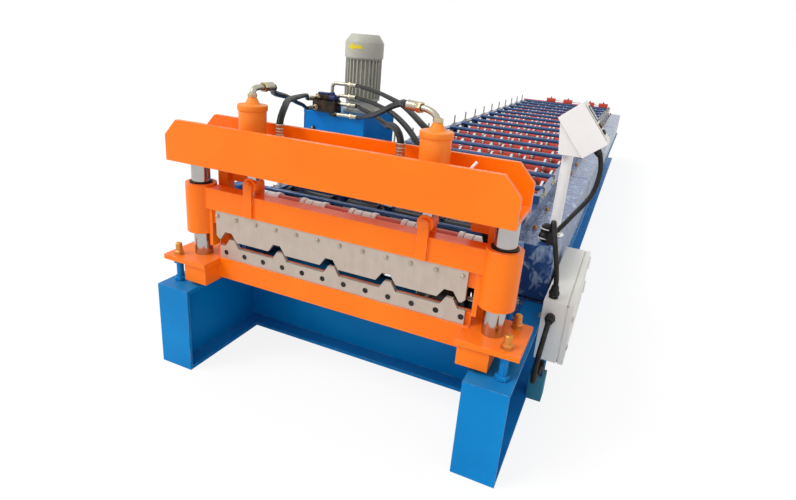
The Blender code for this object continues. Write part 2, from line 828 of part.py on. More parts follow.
# Moving beam with its guide sleeves, clevis lugs and drop lugs, welded together
def moving_beam():
    front = along(upper_blade_front - ledge_lip)
    back = along(beam_back)
    blade_back = along(upper_blade_back) + seat_gap
    blade_top = upper_blade_top + seat_gap
    tail = upper_blade_top - moving_beam_tail
    section = [(front, blade_top), (blade_back, blade_top), (blade_back, tail), (back, tail),
               (back, moving_beam_top), (front, moving_beam_top)]
    reach = pillar_x - pillar_radius - 0.008
    pieces = []
    for side in (-1, 1):
        x = side * pillar_x
        pieces.append(rod_mesh("sleeve", sleeve_radius, (x, along(pillar_reach), sleeve_bottom),
                               (x, along(pillar_reach), sleeve_top), 16))
        round_end = clevis_arc(side * cylinder_x, lug_width / 2)
        foot = [(side * cylinder_x - lug_width / 2, lug_foot), (side * cylinder_x + lug_width / 2, lug_foot)]
        for near in (front - lug_thickness + 0.002, back - 0.002):
            pieces.append(outline_mesh("lug", foot + round_end, near, near + lug_thickness))
        near = base_block_inner + beam_socket + run_gap
        low = min(side * near, side * (near + drop_lug_width))
        pieces.append(box_mesh("drop_lug", (low, front + 0.010, drop_lug_bottom),
                               (low + drop_lug_width, back - 0.010, moving_beam_top - 0.02)))
    beam = outline_mesh("beam", section, -reach, reach, "YZ")
    body = joined("moving_beam", beam, *pieces)
    bores = []
    for side in (-1, 1):
        x = side * pillar_x
        bores.append(rod_mesh("bore", pillar_radius + rod_gap, (x, along(pillar_reach), sleeve_bottom - 0.02),
                              (x, along(pillar_reach), sleeve_top + 0.02), 16))
    add_part("moving_beam", cut("moving_beam", body, *bores), orange_paint)


def piston_rods():
    front = along(upper_blade_front - ledge_lip)
    back = along(beam_back)
    for side, word in ((-1, "left"), (1, "right")):
        x = side * cylinder_x
        rod = rod_mesh("rod", rod_radius, (x, along(cylinder_reach), pin_axis),
                       (x, along(cylinder_reach), rod_top), 16)
        eye = rod_mesh("eye", eye_radius, (x, front + 0.002 + eye_clearance, pin_axis),
                       (x, back - 0.002 - eye_clearance, pin_axis), 16)
        add_part(f"piston_rod_{word}", joined(f"piston_rod_{word}", rod, eye), chrome)


# Oil tank with the pump motor and the valve manifold on its lid
def hydraulic_station():
    mesh = box_mesh("tank", (tank_left, along(tank_front), 0),
                    (tank_left + tank_width, along(tank_front + tank_depth), tank_height))
    add_part("oil_tank", mesh, blue_paint)
    foot = tank_height + seat_gap
    top = foot + motor_height
    cowl = foot + motor_cowl_foot
    body = foot + motor_body_foot
    profile = [(0, top), (motor_radius - motor_cowl_chamfer, top), (motor_radius, top - motor_cowl_chamfer),
               (motor_radius, cowl), (motor_body_radius, cowl), (motor_body_radius, body),
               (motor_flange_radius, body), (motor_flange_radius, foot), (0, foot)]
    width, depth, height = terminal_box_size
    near = motor_body_radius - 0.015
    box = box_mesh("terminal_box", (-width / 2, near, body + 0.060),
                   (width / 2, near + depth, body + 0.060 + height))
    mesh = joined("pump_motor", turned_mesh("motor", profile, 16), box)
    add_part("pump_motor", smooth(mesh), grey_paint,
             (tank_left + motor_from_left, along(tank_front + motor_from_front), 0))


# Ports of the manifold: two bent ones on top, two to the right and two to the front
def manifold_ports():
    left = tank_left + manifold_from_left
    front = along(tank_front) + manifold_from_front
    width, depth, height = manifold_size
    foot = tank_height + seat_gap
    right = left + width
    routes = []
    for inset, rise in zip(side_port_insets, side_port_heights):
        x = right - inset
        y = front + 0.077
        z = foot + rise
        routes.append([(x, y, foot + height - 0.010), (x, y, z - 0.021), (x + 0.006, y, z - 0.006),
                       (x + 0.021, y, z), (right + side_port_length, y, z)])
    for back, rise, length in zip(flank_port_depths, flank_port_heights, flank_port_lengths):
        y = front + back
        z = foot + rise
        routes.append([(right - 0.020, y, z), (right + length, y, z)])
    for rise in front_port_heights:
        x = left + front_port_inset
        z = foot + rise
        routes.append([(x, front + 0.045, z), (x, front - front_port_length, z)])
    return routes


def valve_manifold():
    left = tank_left + manifold_from_left
    front = along(tank_front) + manifold_from_front
    foot = tank_height + seat_gap
    width, depth, height = manifold_size
    block = box_mesh("block", (left, front, foot), (left + width, front + depth, foot + height))
    right = left + width
    lip_back = -manifold_from_front - run_gap
    lip = box_mesh("lip", (right - 0.040, front + 0.0005, foot - 0.022),
                   (right - 0.0005, front + lip_back, foot + 0.020))
    valve_width, valve_depth, valve_height = valve_size
    valve = box_mesh("valve", (left + 0.006, front + 0.030, foot + height - 0.002),
                     (left + 0.006 + valve_width, front + 0.030 + valve_depth, foot + height + valve_height))
    tubes = [tube_mesh("port", route, port_radius) for route in manifold_ports()]
    add_part("valve_block", joined("valve_block", block, lip, valve, *tubes), zinc_steel)


# Hydraulic motor of the roll drive, on the front cross beam, with its shaft to the drive side
def drive_motor():
    y = along(drive_reach)
    z = rail_height + seat_gap + drive_radius + drive_foot_height
    right = drive_right
    left = right - drive_length
    shaft_end = plate_inner - seat_gap
    body = rod_mesh("body", drive_radius, (left, y, z), (right, y, z), 12)
    shaft = rod_mesh("shaft", drive_shaft_radius, (right - 0.004, y, z), (shaft_end, y, z), 8)
    foot = box_mesh("foot", (left + 0.02, y - drive_radius * 0.8, rail_height + seat_gap),
                    (right - 0.02, y + drive_radius * 0.8, z - drive_radius * 0.5))
    ports = []
    for x in drive_port_places:
        ports.append(rod_mesh("port", port_radius, (left + x, y, z), (left + x, y - drive_port_reach, z), 8))
    add_part("drive_motor", joined("drive_motor", body, shaft, foot, *ports), black_rubber)


# Hoses from the manifold to the two cylinders and to the drive motor
def hoses():
    tank_ends = [hose_start(route) for route in manifold_ports()]
    cap_ends = []
    port_ends = []
    for side in (-1, 1):
        offset = (side * cylinder_x, along(cylinder_reach), 0)
        bend, elbow = cylinder_pipes(side)
        cap_ends.append(hose_start(bend, offset))
        port_ends.append(hose_start(elbow, offset))
    upper_one, upper_two, lower_one, lower_two, front_low, front_high = tank_ends

    def run(start, middle, end):
        return [start[0], start[0] + start[1] * hose_lead, *middle, end[0] + end[1] * hose_lead, end[0]]

    runs = {
        "hose_left_cap": run(cap_ends[0], [(-0.461, -0.080, 1.100), (-0.691, 0.350, 1.030),
                                           (-0.914, 0.760, 0.951), (-1.077, 1.080, 0.891)], front_low),
        "hose_left_port": run(port_ends[0], [(-0.262, -0.290, 1.082), (-0.345, -0.150, 1.086),
                                             (-0.492, 0.100, 1.062), (-0.775, 0.600, 1.010),
                                             (-1.009, 1.020, 0.963)], front_high),
        "hose_right_cap": run(cap_ends[1], [(0.142, -0.170, 1.134), (0.051, -0.050, 1.103),
                                            (-0.069, 0.120, 1.054), (-0.250, 0.400, 0.989),
                                            (-0.533, 0.850, 0.902), (-0.716, 1.150, 0.848),
                                            (-0.810, 1.340, 0.818)], lower_two),
        "hose_right_port": run(port_ends[1], [(0.175, -0.290, 1.066), (0.100, -0.170, 1.040),
                                              (-0.020, 0.080, 0.994), (-0.244, 0.480, 0.963),
                                              (-0.445, 0.800, 0.936), (-0.684, 1.140, 0.908),
                                              (-0.830, 1.390, 0.882)], lower_one),
    }
    y = along(drive_reach)
    z = rail_height + seat_gap + drive_radius + drive_foot_height
    left = drive_right - drive_length
    drive_ends = []
    for x in drive_port_places:
        drive_ends.append((Vector((left + x, y - drive_port_reach - seat_gap, z)), Vector((0, -1, 0))))
    runs["drive_hose_1"] = run(upper_two, [(-0.764, 1.280, 1.027), (-0.552, 1.000, 1.044),
                                           (-0.372, 0.760, 1.054), (-0.213, 0.540, 1.060),
                                           (-0.073, 0.340, 1.064), (0.059, 0.140, 1.058),
                                           (0.198, -0.060, 1.040), (0.330, -0.150, 0.985),
                                           (0.470, -0.183, 0.900), (0.527, -0.196, 0.790),
                                           (0.530, -0.196, 0.640), (0.527, -0.196, 0.520),
                                           (0.485, -0.197, 0.435), (0.420, -0.200, 0.408)], drive_ends[1])
    runs["drive_hose_2"] = run(upper_one, [(-0.744, 1.250, 0.953), (-0.523, 0.950, 0.979),
                                           (-0.339, 0.700, 0.993), (-0.172, 0.460, 1.005),
                                           (-0.016, 0.220, 1.007), (0.106, 0.030, 0.999),
                                           (0.200, -0.110, 0.978), (0.310, -0.195, 0.925),
                                           (0.430, -0.221, 0.860), (0.500, -0.228, 0.765),
                                           (0.527, -0.229, 0.640), (0.522, -0.230, 0.500),
                                           (0.470, -0.234, 0.410), (0.380, -0.238, 0.385)], drive_ends[0])
    for name, route in runs.items():
        add_part(name, smooth(cord_mesh(name, route, hose_radius)), black_rubber)


# Corrugated conduits: console to guard, guard to cabinet, cabinet to the foot beside the rail
def conduits():
    head = console_axis()
    head_end = head @ Vector((console_head_size[0] / 2, 0, 0))
    head_way = (head.to_3x3() @ Vector((1, 0, 0))).normalized()
    console_gland, guard_gland = guard_glands()
    top_gland, front_gland = cabinet_glands()

    def run(start, middle, end):
        first = start[0] + start[1] * seat_gap
        last = end[0] + end[1] * seat_gap
        return [first, first + start[1] * conduit_lead, *middle, last + end[1] * conduit_lead, last]

    runs = {
        "console_conduit": run((head_end, head_way), [(0.798, 0.360, 0.895), (0.785, 0.335, 0.805),
                                                      (0.735, 0.305, 0.722)], console_gland),
        "cabinet_conduit": run(guard_gland, [(0.678, 0.168, 0.712), (0.700, 0.090, 0.672),
                                             (0.726, 0.045, 0.590)], top_gland),
        "foot_conduit": run(front_gland, [(0.744, -0.145, 0.360), (0.740, -0.178, 0.280),
                                          (0.737, -0.140, 0.195)], foot_gland()),
    }
    for name, route in runs.items():
        add_part(name, smooth(cord_mesh(name, route, conduit_radius)), black_rubber)


# Cabinet and its door, on two lift-off hinges at the far end of the outer face
def electric_cabinet():
    left = cabinet_left
    face = left + cabinet_depth - door_thickness
    front = along(cabinet_front)
    back = front + cabinet_length
    top = cabinet_bottom + cabinet_height
    door_left = face + run_gap
    axis_x = door_left + door_thickness
    axis_y = back + hinge_offset
    cabinet = box_mesh("cabinet", (left, front, cabinet_bottom), (face, back, top))
    door = box_mesh("door", (door_left - axis_x, front - axis_y, cabinet_bottom),
                    (0, -hinge_offset, top))
    fixed = []
    swinging = []
    for foot in (cabinet_bottom + hinge_inset, top - hinge_inset - 2 * knuckle_length):
        middle = foot + knuckle_length
        head = middle + knuckle_length
        low_leaf = axis_y - hinge_leaf / 2
        high_leaf = axis_y + hinge_leaf / 2
        fixed.append(box_mesh("leaf", (face - 0.015, back - 0.004, foot + 0.002),
                              (face - 0.001, high_leaf, middle - 0.002)))
        fixed.append(box_mesh("leaf", (face - 0.006, low_leaf, foot + 0.003),
                              (axis_x, high_leaf - 0.001, middle - 0.003)))
        fixed.append(rod_mesh("knuckle", hinge_radius, (axis_x, axis_y, foot), (axis_x, axis_y, middle)))
        swinging.append(box_mesh("leaf", (-door_thickness + 0.004, -hinge_offset - 0.004, middle + 0.003),
                                 (-0.004, hinge_leaf / 2, head - 0.003)))
        swinging.append(rod_mesh("knuckle", hinge_radius, (0, 0, middle + seat_gap), (0, 0, head)))
    for end, way in cabinet_glands():
        fixed.append(rod_mesh("gland", gland_radius, end - way * (gland_length + 0.01), end, 10))
    add_part("electric_cabinet", joined("electric_cabinet", cabinet, *fixed), white_paint)
    add_part("cabinet_door", joined("cabinet_door", door, *swinging), white_paint, (axis_x, axis_y, 0))


# Console: a post on the guard, a wedge-shaped neck and a tilted head
def console():
    y = along(console_reach)
    foot = guard_top + seat_gap
    neck = foot + console_post_height
    place = console_axis()
    length, depth, width = console_head_size
    post = rod_mesh("post", post_radius, (post_x, y, foot), (post_x, y, neck + 0.02), 12)
    head = box_mesh("head", (-length / 2, -depth / 2, -width / 2), (length / 2, depth / 2, width / 2))
    corner = place @ Vector((-length / 2 + 0.006, 0, -width / 2 + 0.006))
    outline = [(post_x - console_neck_left, neck), (post_x + console_neck_right - 0.004, neck),
               (place.translation.x, place.translation.z), (corner.x, corner.z)]
    wedge = outline_mesh("neck", outline, y - console_neck_depth / 2, y + console_neck_depth / 2)
    add_part("operator_console", joined("operator_console", post, wedge, moved(head, place)), white_paint)


base_frame()
side_plates()
tie_bar_ladder()
upper_rolls()
lower_roll_bed()
chain_guard()
entry_guide()
lower_shear_frame()
blades()
pillars()
upper_crossbeam()
cylinders()
moving_beam()
piston_rods()
hydraulic_station()
valve_manifold()
drive_motor()
hoses()
electric_cabinet()
console()
conduits()
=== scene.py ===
import math

import bmesh
import bpy
from mathutils import Matrix, Vector


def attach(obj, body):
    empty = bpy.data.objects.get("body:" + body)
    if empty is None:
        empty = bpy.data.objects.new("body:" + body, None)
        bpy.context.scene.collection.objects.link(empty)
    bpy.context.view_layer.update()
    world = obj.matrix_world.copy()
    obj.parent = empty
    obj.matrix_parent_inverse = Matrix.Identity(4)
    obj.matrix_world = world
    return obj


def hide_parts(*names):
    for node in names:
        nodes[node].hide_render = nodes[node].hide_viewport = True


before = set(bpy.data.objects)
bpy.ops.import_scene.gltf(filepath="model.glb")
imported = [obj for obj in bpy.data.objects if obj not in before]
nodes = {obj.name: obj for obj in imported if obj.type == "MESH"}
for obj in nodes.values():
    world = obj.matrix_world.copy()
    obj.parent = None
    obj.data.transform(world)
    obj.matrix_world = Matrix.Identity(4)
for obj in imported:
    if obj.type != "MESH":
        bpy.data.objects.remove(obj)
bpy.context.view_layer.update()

print("frame loaded,", len(nodes), "nodes")

frontY = -0.507          # front faces of the base's end plates
pillarX, pillarY = 0.601, -0.359
cylinderX, cylinderY = 0.345, -0.365
rollRows = [round(frontY + 0.5975 + 0.325 * row, 4) for row in range(18) if row != 1]
barRows = [round(frontY + 0.435 + 0.325 * row, 4) for row in range(19)]
ribPlaces = [-0.448, -0.224, 0.0, 0.224, 0.448]
upperAxis, lowerAxis = 0.595, 0.450


# View and light
viewSettings = {
    "place": (0.880, -1.926, 1.346),      # eye height of someone standing
    "turn": (1.22857, -0.07194, 0.43517),
    "lens": 24.396,                       # on a 36 mm wide frame
    "shift": (0.01469, -0.02686),
    "skyLevel": (0.30, 0.92),             # on the shaded right and on the window side
    "sunLevel": 1.35,
    "sunFrom": (-0.62, -0.60, 0.85),
    "sunSpread": 25,
}
stageSettings = {
    "floorHalf": 60, "floorMiddle": (0, 20, -0.0005), "floorGlow": 1.06, "glowShare": 0.80, "cardHeight": 3.2,
    "cards": (((-3.4, -5.2, 1.6), 38, 0.9), ((4.6, -2.2, 1.6), -62, 1.5), ((-6.0, 6.0, 1.6), 110, 2.4),
              ((5.5, 7.0, 1.6), -110, 2.4)),    # place, heading and width
}


def hexToLinear(code):
    channels = [int(code[i:i + 2], 16) / 255 for i in (0, 2, 4)]
    return tuple(c / 12.92 if c <= 0.04045 else ((c + 0.055) / 1.055) ** 2.4 for c in channels) + (1.0,)


def emptyTree(owner):
    owner.use_nodes = True
    owner.node_tree.nodes.clear()
    return owner.node_tree


def addNode(tree, kind, inputs=None, **settings):
    node = tree.nodes.new(kind)
    for key, value in settings.items():
        setattr(node, key, value)
    for key, value in (inputs or {}).items():
        if isinstance(value, bpy.types.NodeSocket):
            tree.links.new(value, node.inputs[key])
        else:
            node.inputs[key].default_value = value
    return node


def linked(name, data):
    thing = bpy.data.objects.new(name, data)
    bpy.context.scene.collection.objects.link(thing)
    return thing


def setUpView():
    camera = bpy.data.cameras.new("camera")
    camera.lens = viewSettings["lens"]
    camera.sensor_width = 36
    camera.shift_x, camera.shift_y = viewSettings["shift"]
    camera.clip_end = 200
    holder = linked("camera", camera)
    holder.location = viewSettings["place"]
    holder.rotation_euler = viewSettings["turn"]
    bpy.context.scene.camera = holder
    bpy.context.scene.view_settings.view_transform = "Standard"
    sun = bpy.data.lights.new("sun", "SUN")
    sun.energy = viewSettings["sunLevel"]
    sun.angle = math.radians(viewSettings["sunSpread"])
    linked("sun", sun).rotation_euler = Vector(viewSettings["sunFrom"]).to_track_quat("Z", "Y").to_euler()

    # The world is white to the camera and in reflections, and lights the object from a window side
    world = bpy.data.worlds.new("studio")
    bpy.context.scene.world = world
    tree = emptyTree(world)
    rays = addNode(tree, "ShaderNodeLightPath").outputs
    seen = rays["Is Camera Ray"]
    for kind in ("Is Transmission Ray", "Is Glossy Ray"):
        seen = addNode(tree, "ShaderNodeMath", {0: seen, 1: rays[kind]}, operation="MAXIMUM").outputs[0]
    way = addNode(tree, "ShaderNodeTexCoord").outputs["Generated"]
    window = tuple(Vector(viewSettings["sunFrom"]).normalized())
    facing = addNode(tree, "ShaderNodeVectorMath", {0: way, 1: window}, operation="DOT_PRODUCT").outputs["Value"]
    low, high = viewSettings["skyLevel"]
    level = addNode(tree, "ShaderNodeMapRange",
        {"Value": facing, "From Min": -0.9, "From Max": 0.8, "To Min": low, "To Max": high}).outputs[0]
    dim = addNode(tree, "ShaderNodeBackground", {"Color": (1, 1, 1, 1), "Strength": level})
    plain = addNode(tree, "ShaderNodeBackground", {"Color": (1, 1, 1, 1), "Strength": 1.0})
    blend = addNode(tree, "ShaderNodeMixShader", {0: seen, 1: dim.outputs[0], 2: plain.outputs[0]})
    addNode(tree, "ShaderNodeOutputWorld", {"Surface": blend.outputs[0]})


def stageSheet(name, half, place, finish):
    form = bmesh.new()
    bmesh.ops.create_grid(form, x_segments=1, y_segments=1, size=half)
    bmesh.ops.transform(form, matrix=place, verts=form.verts)
    mesh = bpy.data.meshes.new(name)
    form.to_mesh(mesh)
    form.free()
    mesh.materials.append(finish)
    sheet = linked(name, mesh)
    return sheet


# Pale floor, mostly white to the camera so that only the object's shadow shows, and four dark cards
# that only reflections see: they give chrome its dark upright lines
def layStage():
    paint = bpy.data.materials.new("paleFloor")
    tree = emptyTree(paint)
    rays = addNode(tree, "ShaderNodeLightPath")
    seen = addNode(tree, "ShaderNodeMath", {0: rays.outputs["Is Camera Ray"], 1: stageSettings["glowShare"]},
        operation="MULTIPLY")
    matte = addNode(tree, "ShaderNodeBsdfDiffuse", {"Color": (0.86, 0.86, 0.86, 1)})
    glow = addNode(tree, "ShaderNodeEmission", {"Color": (1, 1, 1, 1), "Strength": stageSettings["floorGlow"]})
    blend = addNode(tree, "ShaderNodeMixShader", {0: seen.outputs[0], 1: matte.outputs[0], 2: glow.outputs[0]})
    addNode(tree, "ShaderNodeOutputMaterial", {"Surface": blend.outputs[0]})
    stageSheet("floor", stageSettings["floorHalf"], Matrix.Translation(stageSettings["floorMiddle"]), paint)
    dark = bpy.data.materials.new("blackCard")
    tree = emptyTree(dark)
    shade = addNode(tree, "ShaderNodeEmission", {"Color": (0.03, 0.03, 0.035, 1), "Strength": 1.0})
    addNode(tree, "ShaderNodeOutputMaterial", {"Surface": shade.outputs[0]})
    for number, (place, heading, width) in enumerate(stageSettings["cards"]):
        turn = Matrix.Rotation(math.radians(heading), 4, "Z") @ Matrix.Rotation(math.pi / 2, 4, "X")
        size = Matrix.Diagonal((width, stageSettings["cardHeight"], 1, 1))
        card = stageSheet(f"card_{number}", 0.5, Matrix.Translation(place) @ turn @ size, dark)
        card.visible_camera = False
        card.visible_diffuse = False
        card.visible_shadow = False


setUpView()
layStage()
print("view, light and stage set")


# Finishes
def newPaint(name):
    tree = emptyTree(bpy.data.materials.new(name))
    return tree, addNode(tree, "ShaderNodeTexCoord").outputs["Object"]


def closePaint(tree, inputs):
    shader = addNode(tree, "ShaderNodeBsdfPrincipled", inputs)
    addNode(tree, "ShaderNodeOutputMaterial", {"Surface": shader.outputs[0]})


# A second colour over the first, in soft patches that grow from the low to the high level of a noise
def patched(tree, place, scale, detail, low, high, most, under, over):
    noise = addNode(tree, "ShaderNodeTexNoise", {"Vector": place, "Scale": scale, "Detail": detail}).outputs["Fac"]
    share = addNode(tree, "ShaderNodeMapRange",
        {"Value": noise, "From Min": low, "From Max": high, "To Max": most}).outputs[0]
    return addNode(tree, "ShaderNodeMix", {"Factor": share, 6: hexToLinear(under), 7: hexToLinear(over)},
        data_type="RGBA").outputs[2]


# Sprayed gloss enamel: an even colour that drifts a little over 200 mm, fine orange peel, softened edges
# that turn pale (a painted highlight that also stands for paint worn thin), and dust where it lies on top faces
def sprayedEnamel(name, colour, shade, roughness, dust, edge=0.0015, highlightAndWearColour="C9C2B6", highlightAndWearShare=0.25, gloss=0.28):
    tree, place = newPaint(name)
    body = patched(tree, place, 4.5, 3.0, 0.35, 0.65, 1.0, colour, shade)
    flat = addNode(tree, "ShaderNodeNewGeometry").outputs["Normal"]
    soft = addNode(tree, "ShaderNodeBevel", {"Radius": edge}, samples=4).outputs[0]
    up = addNode(tree, "ShaderNodeSeparateXYZ", {0: flat}).outputs["Z"]
    bend = addNode(tree, "ShaderNodeVectorMath", {0: soft, 1: flat}, operation="DOT_PRODUCT").outputs["Value"]
    speck = addNode(tree, "ShaderNodeTexNoise", {"Vector": place, "Scale": 33.0, "Detail": 5.0}).outputs["Fac"]
    edgeBreakup = addNode(tree, "ShaderNodeMapRange", {"Value": speck, "From Min": 0.42, "From Max": 0.60}).outputs[0]
    # Dust on top faces, then pale edges where the softened normal bends away: painted highlight, broken up like worn
    # paint
    for level, low, high, most, grain, over in ((up, 0.6, 1.0, dust, speck, "E4DFD6"),
                                                 (bend, 0.99, 0.80, highlightAndWearShare, edgeBreakup, highlightAndWearColour)):
        share = addNode(tree, "ShaderNodeMapRange",
            {"Value": level, "From Min": low, "From Max": high, "To Max": most}).outputs[0]
        share = addNode(tree, "ShaderNodeMath", {0: share, 1: grain}, operation="MULTIPLY").outputs[0]
        body = addNode(tree, "ShaderNodeMix", {"Factor": share, 6: body, 7: hexToLinear(over)},
            data_type="RGBA").outputs[2]
    smear = addNode(tree, "ShaderNodeTexNoise", {"Vector": place, "Scale": 16.0, "Detail": 4.0}).outputs["Fac"]
    smear = addNode(tree, "ShaderNodeMapRange", {"Value": smear, "From Min": 0.3, "From Max": 0.7,
        "To Min": roughness - 0.06, "To Max": roughness + 0.10}).outputs[0]
    peel = addNode(tree, "ShaderNodeTexNoise", {"Vector": place, "Scale": 250.0, "Detail": 2.0}).outputs["Fac"]
    peel = addNode(tree, "ShaderNodeBump", {"Height": peel, "Strength": 0.05, "Distance": 0.002, "Normal": soft})
    closePaint(tree, {"Base Color": body, "Roughness": smear, "Normal": peel.outputs[0], "IOR": 1.5,
        "Specular IOR Level": gloss})


# Ground, turned and plated metal: the metal's own colour, with fine marks that run along one axis (grain in
# metres across each axis) and the film of oil or rust that such parts carry
def workedMetal(name, colour, roughness, grain, depth, stain="8A7F70", stained=0.2, metallic=1.0):
    tree, place = newPaint(name)
    body = patched(tree, place, 20.0, 5.0, 0.45, 0.75, stained, colour, stain)
    scaled = addNode(tree, "ShaderNodeMapping", {"Vector": place, "Scale": tuple(1 / g for g in grain)}).outputs[0]
    lines = addNode(tree, "ShaderNodeTexNoise", {"Vector": scaled, "Scale": 1.0, "Detail": 4.0}).outputs["Fac"]
    rough = addNode(tree, "ShaderNodeMapRange", {"Value": lines, "From Min": 0.3, "From Max": 0.7,
        "To Min": roughness * 0.75, "To Max": roughness * 1.3}).outputs[0]
    soft = addNode(tree, "ShaderNodeBevel", {"Radius": 0.0008}, samples=4).outputs[0]
    bump = addNode(tree, "ShaderNodeBump", {"Height": lines, "Strength": depth, "Distance": 0.001, "Normal": soft})
    closePaint(tree, {"Base Color": body, "Metallic": metallic, "Roughness": rough, "Normal": bump.outputs[0]})


# Moulded rubber and plastic: a dull colour that pales where it has been handled, with a fine grain
def moulded(name, colour, roughness, handled="45433E"):
    tree, place = newPaint(name)
    body = patched(tree, place, 20.0, 4.0, 0.3, 0.7, 0.5, colour, handled)
    fine = addNode(tree, "ShaderNodeTexNoise", {"Vector": place, "Scale": 1 / 0.003, "Detail": 2.0}).outputs["Fac"]
    bump = addNode(tree, "ShaderNodeBump", {"Height": fine, "Strength": 0.15, "Distance": 0.001})
    closePaint(tree, {"Base Color": body, "Roughness": roughness, "Specular IOR Level": 0.2,
        "Normal": bump.outputs[0]})


# Blue enamel still under its clear transit film: folds and trapped air run slantwise over the sheet as glossy
# streaks some 40 mm apart, their pale colour a painted highlight, so the blue looks silvered
def filmedEnamel(name, colour, highlightColour, highlightShare):
    tree, place = newPaint(name)
    folded = addNode(tree, "ShaderNodeMapping",
        {"Vector": place, "Rotation": (0.9, 0.2, 0.1), "Scale": (0.038, 0.045, 0.22)}, vector_type="TEXTURE")
    folds = addNode(tree, "ShaderNodeTexNoise",
        {"Vector": folded.outputs[0], "Scale": 1.0, "Detail": 6.0, "Distortion": 1.2}).outputs["Fac"]
    highlightMask = addNode(tree, "ShaderNodeMapRange",
        {"Value": folds, "From Min": 0.51, "From Max": 0.66, "To Max": highlightShare}).outputs[0]
    body = addNode(tree, "ShaderNodeMix", {"Factor": highlightMask, 6: hexToLinear(colour), 7: hexToLinear(highlightColour)},
        data_type="RGBA").outputs[2]
    gloss = addNode(tree, "ShaderNodeMapRange",
        {"Value": folds, "From Min": 0.3, "From Max": 0.7, "To Min": 0.14, "To Max": 0.42}).outputs[0]
    soft = addNode(tree, "ShaderNodeBevel", {"Radius": 0.002}, samples=4).outputs[0]
    bump = addNode(tree, "ShaderNodeBump", {"Height": folds, "Strength": 0.8, "Distance": 0.006, "Normal": soft})
    closePaint(tree, {"Base Color": body, "Roughness": gloss, "Normal": bump.outputs[0], "Coat Weight": 0.25,
        "Coat Roughness": 0.12})


# The finishes, each with what it gives the eye. Enamels: colour, the shade it drifts to, roughness, dust,
# edge radius, colour and share of the painted edge highlight, gloss. Metals: colour, roughness, grain, depth, stain
finishes = {
    "orangeEnamel": (sprayedEnamel, "FF7C06", "FF7602", 0.32, 0.03, 0.002, "FFF0DE", 0.6),    # loud, edges nearly white: painted highlight
    "cylinderEnamel": (sprayedEnamel, "FF9430", "FF8A26", 0.34, 0.06, 0.002, "FFF0DE", 0.4),  # paler, thinner coat, edges pale with painted highlight
    "frameBlueEnamel": (sprayedEnamel, "0083C8", "007ABE", 0.36, 0.03, 0.0025, "DDE8F2", 0.5, 0.12),  # bright, even, edges pale with painted highlight
    "tankBlueEnamel": (sprayedEnamel, "007CCB", "0070BE", 0.34, 0.03, 0.0015, "C9C2B6", 0.25, 0.12),  # a shade deeper
    "deckBlueEnamel": (sprayedEnamel, "2C5284", "244876", 0.20, 0.08, 0.0015, "C9C2B6", 0.25, 0.5),   # dark, glossy
    "columnBlueEnamel": (sprayedEnamel, "0F63A8", "0E5A9C", 0.34, 0.10),    # middle blue between base and deck
    "tealEnamel": (sprayedEnamel, "3F8FA6", "357F96", 0.40, 0.15),          # dusty green blue by the floor
    "redOxideEnamel": (sprayedEnamel, "D95544", "C74A3B", 0.34, 0.10),      # warm primer red, slightly chalky
    "whitePowderCoat": (sprayedEnamel, "FBFBFA", "F6F6F5", 0.45, 0.04, 0.0015, "C9C2B6", 0.1),     # clean, satin
    "cabinetPowderCoat": (sprayedEnamel, "F6F4EC", "F0EEE6", 0.45, 0.02, 0.0015, "C9C2B6", 0.1),   # creamy, satin
    "blackEnamel": (sprayedEnamel, "1B1B1B", "232323", 0.38, 0.10),         # dusty casting black
    "greyEnamel": (sprayedEnamel, "BBBAAD", "AFAEA2", 0.42, 0.10),          # warm light grey over castings
    "filmedBlue": (filmedEnamel, "2C5087", "B2C5DA", 0.7),                  # strongly silvered by painted highlight streaks
    "filmedDeckBlue": (filmedEnamel, "2A558F", "B8CAE0", 0.45),             # half as silvered by painted highlight streaks
    "hardChrome": (workedMetal, "B9B6B3", 0.13, (0.05, 0.05, 0.0015), 0.004, "8A837A"),        # mirror, oil film
    "rollChrome": (workedMetal, "E2E3E4", 0.16, (0.004, 0.05, 0.05), 0.02, "8F8A84", 0.15),    # white, turned lines
    "darkRollSteel": (workedMetal, "2B2B2D", 0.16, (0.006, 0.05, 0.05), 0.03, "241F1C", 0.7),  # nearly black: painted shade and dark reflection under the crossbeam
    "groundToolSteel": (workedMetal, "C6B9AD", 0.48, (0.02, 0.02, 0.10), 0.03, "B09C8C", 0.3, 0.7),   # matt, warm
    "zincPlate": (workedMetal, "B9B3A2", 0.36, (0.02, 0.02, 0.02), 0.03),      # straw tinted, half bright
    "fittingBrass": (workedMetal, "CDB894", 0.30, (0.02, 0.02, 0.02), 0.03),   # pale gold
    "blackedSteel": (workedMetal, "3A3835", 0.42, (0.01, 0.01, 0.01), 0.05, "7A5A3E", 0.5),    # black, rust bloom; on the manifold block, painted shade
    "rustedNut": (workedMetal, "D99A4E", 0.50, (0.006, 0.006, 0.006), 0.10, "9A5628", 0.5),    # golden brown, pitted
    "blackRubber": (moulded, "0F0D0A", 0.44, "26221C"),       # deep warm black
    "blackPlastic": (moulded, "161616", 0.42),                # black, greyed by hands
    "greyPlastic": (moulded, "6D7072", 0.45, "85888A"),       # plain middle grey
    "violetCoil": (moulded, "2F3566", 0.40, "444A7C"),        # blue violet of a cast coil
    "whiteNylon": (moulded, "F8F8F6", 0.40, "F0F0EC"),        # milky white
    "signalRed": (moulded, "C3231C", 0.35, "B02018"),         # buttons' red
    "signalGreen": (moulded, "2C8A42", 0.35, "277C3B"),       # buttons' green
    "signalYellow": (moulded, "E8D23A", 0.40, "DDC633"),      # lemon of the turning arrow
    "darkDisplay": (moulded, "1D2A33", 0.12, "24343E"),       # glassy blue black
}
for name, (mix, *values) in finishes.items():
    mix(name, *values)
print("finishes mixed")

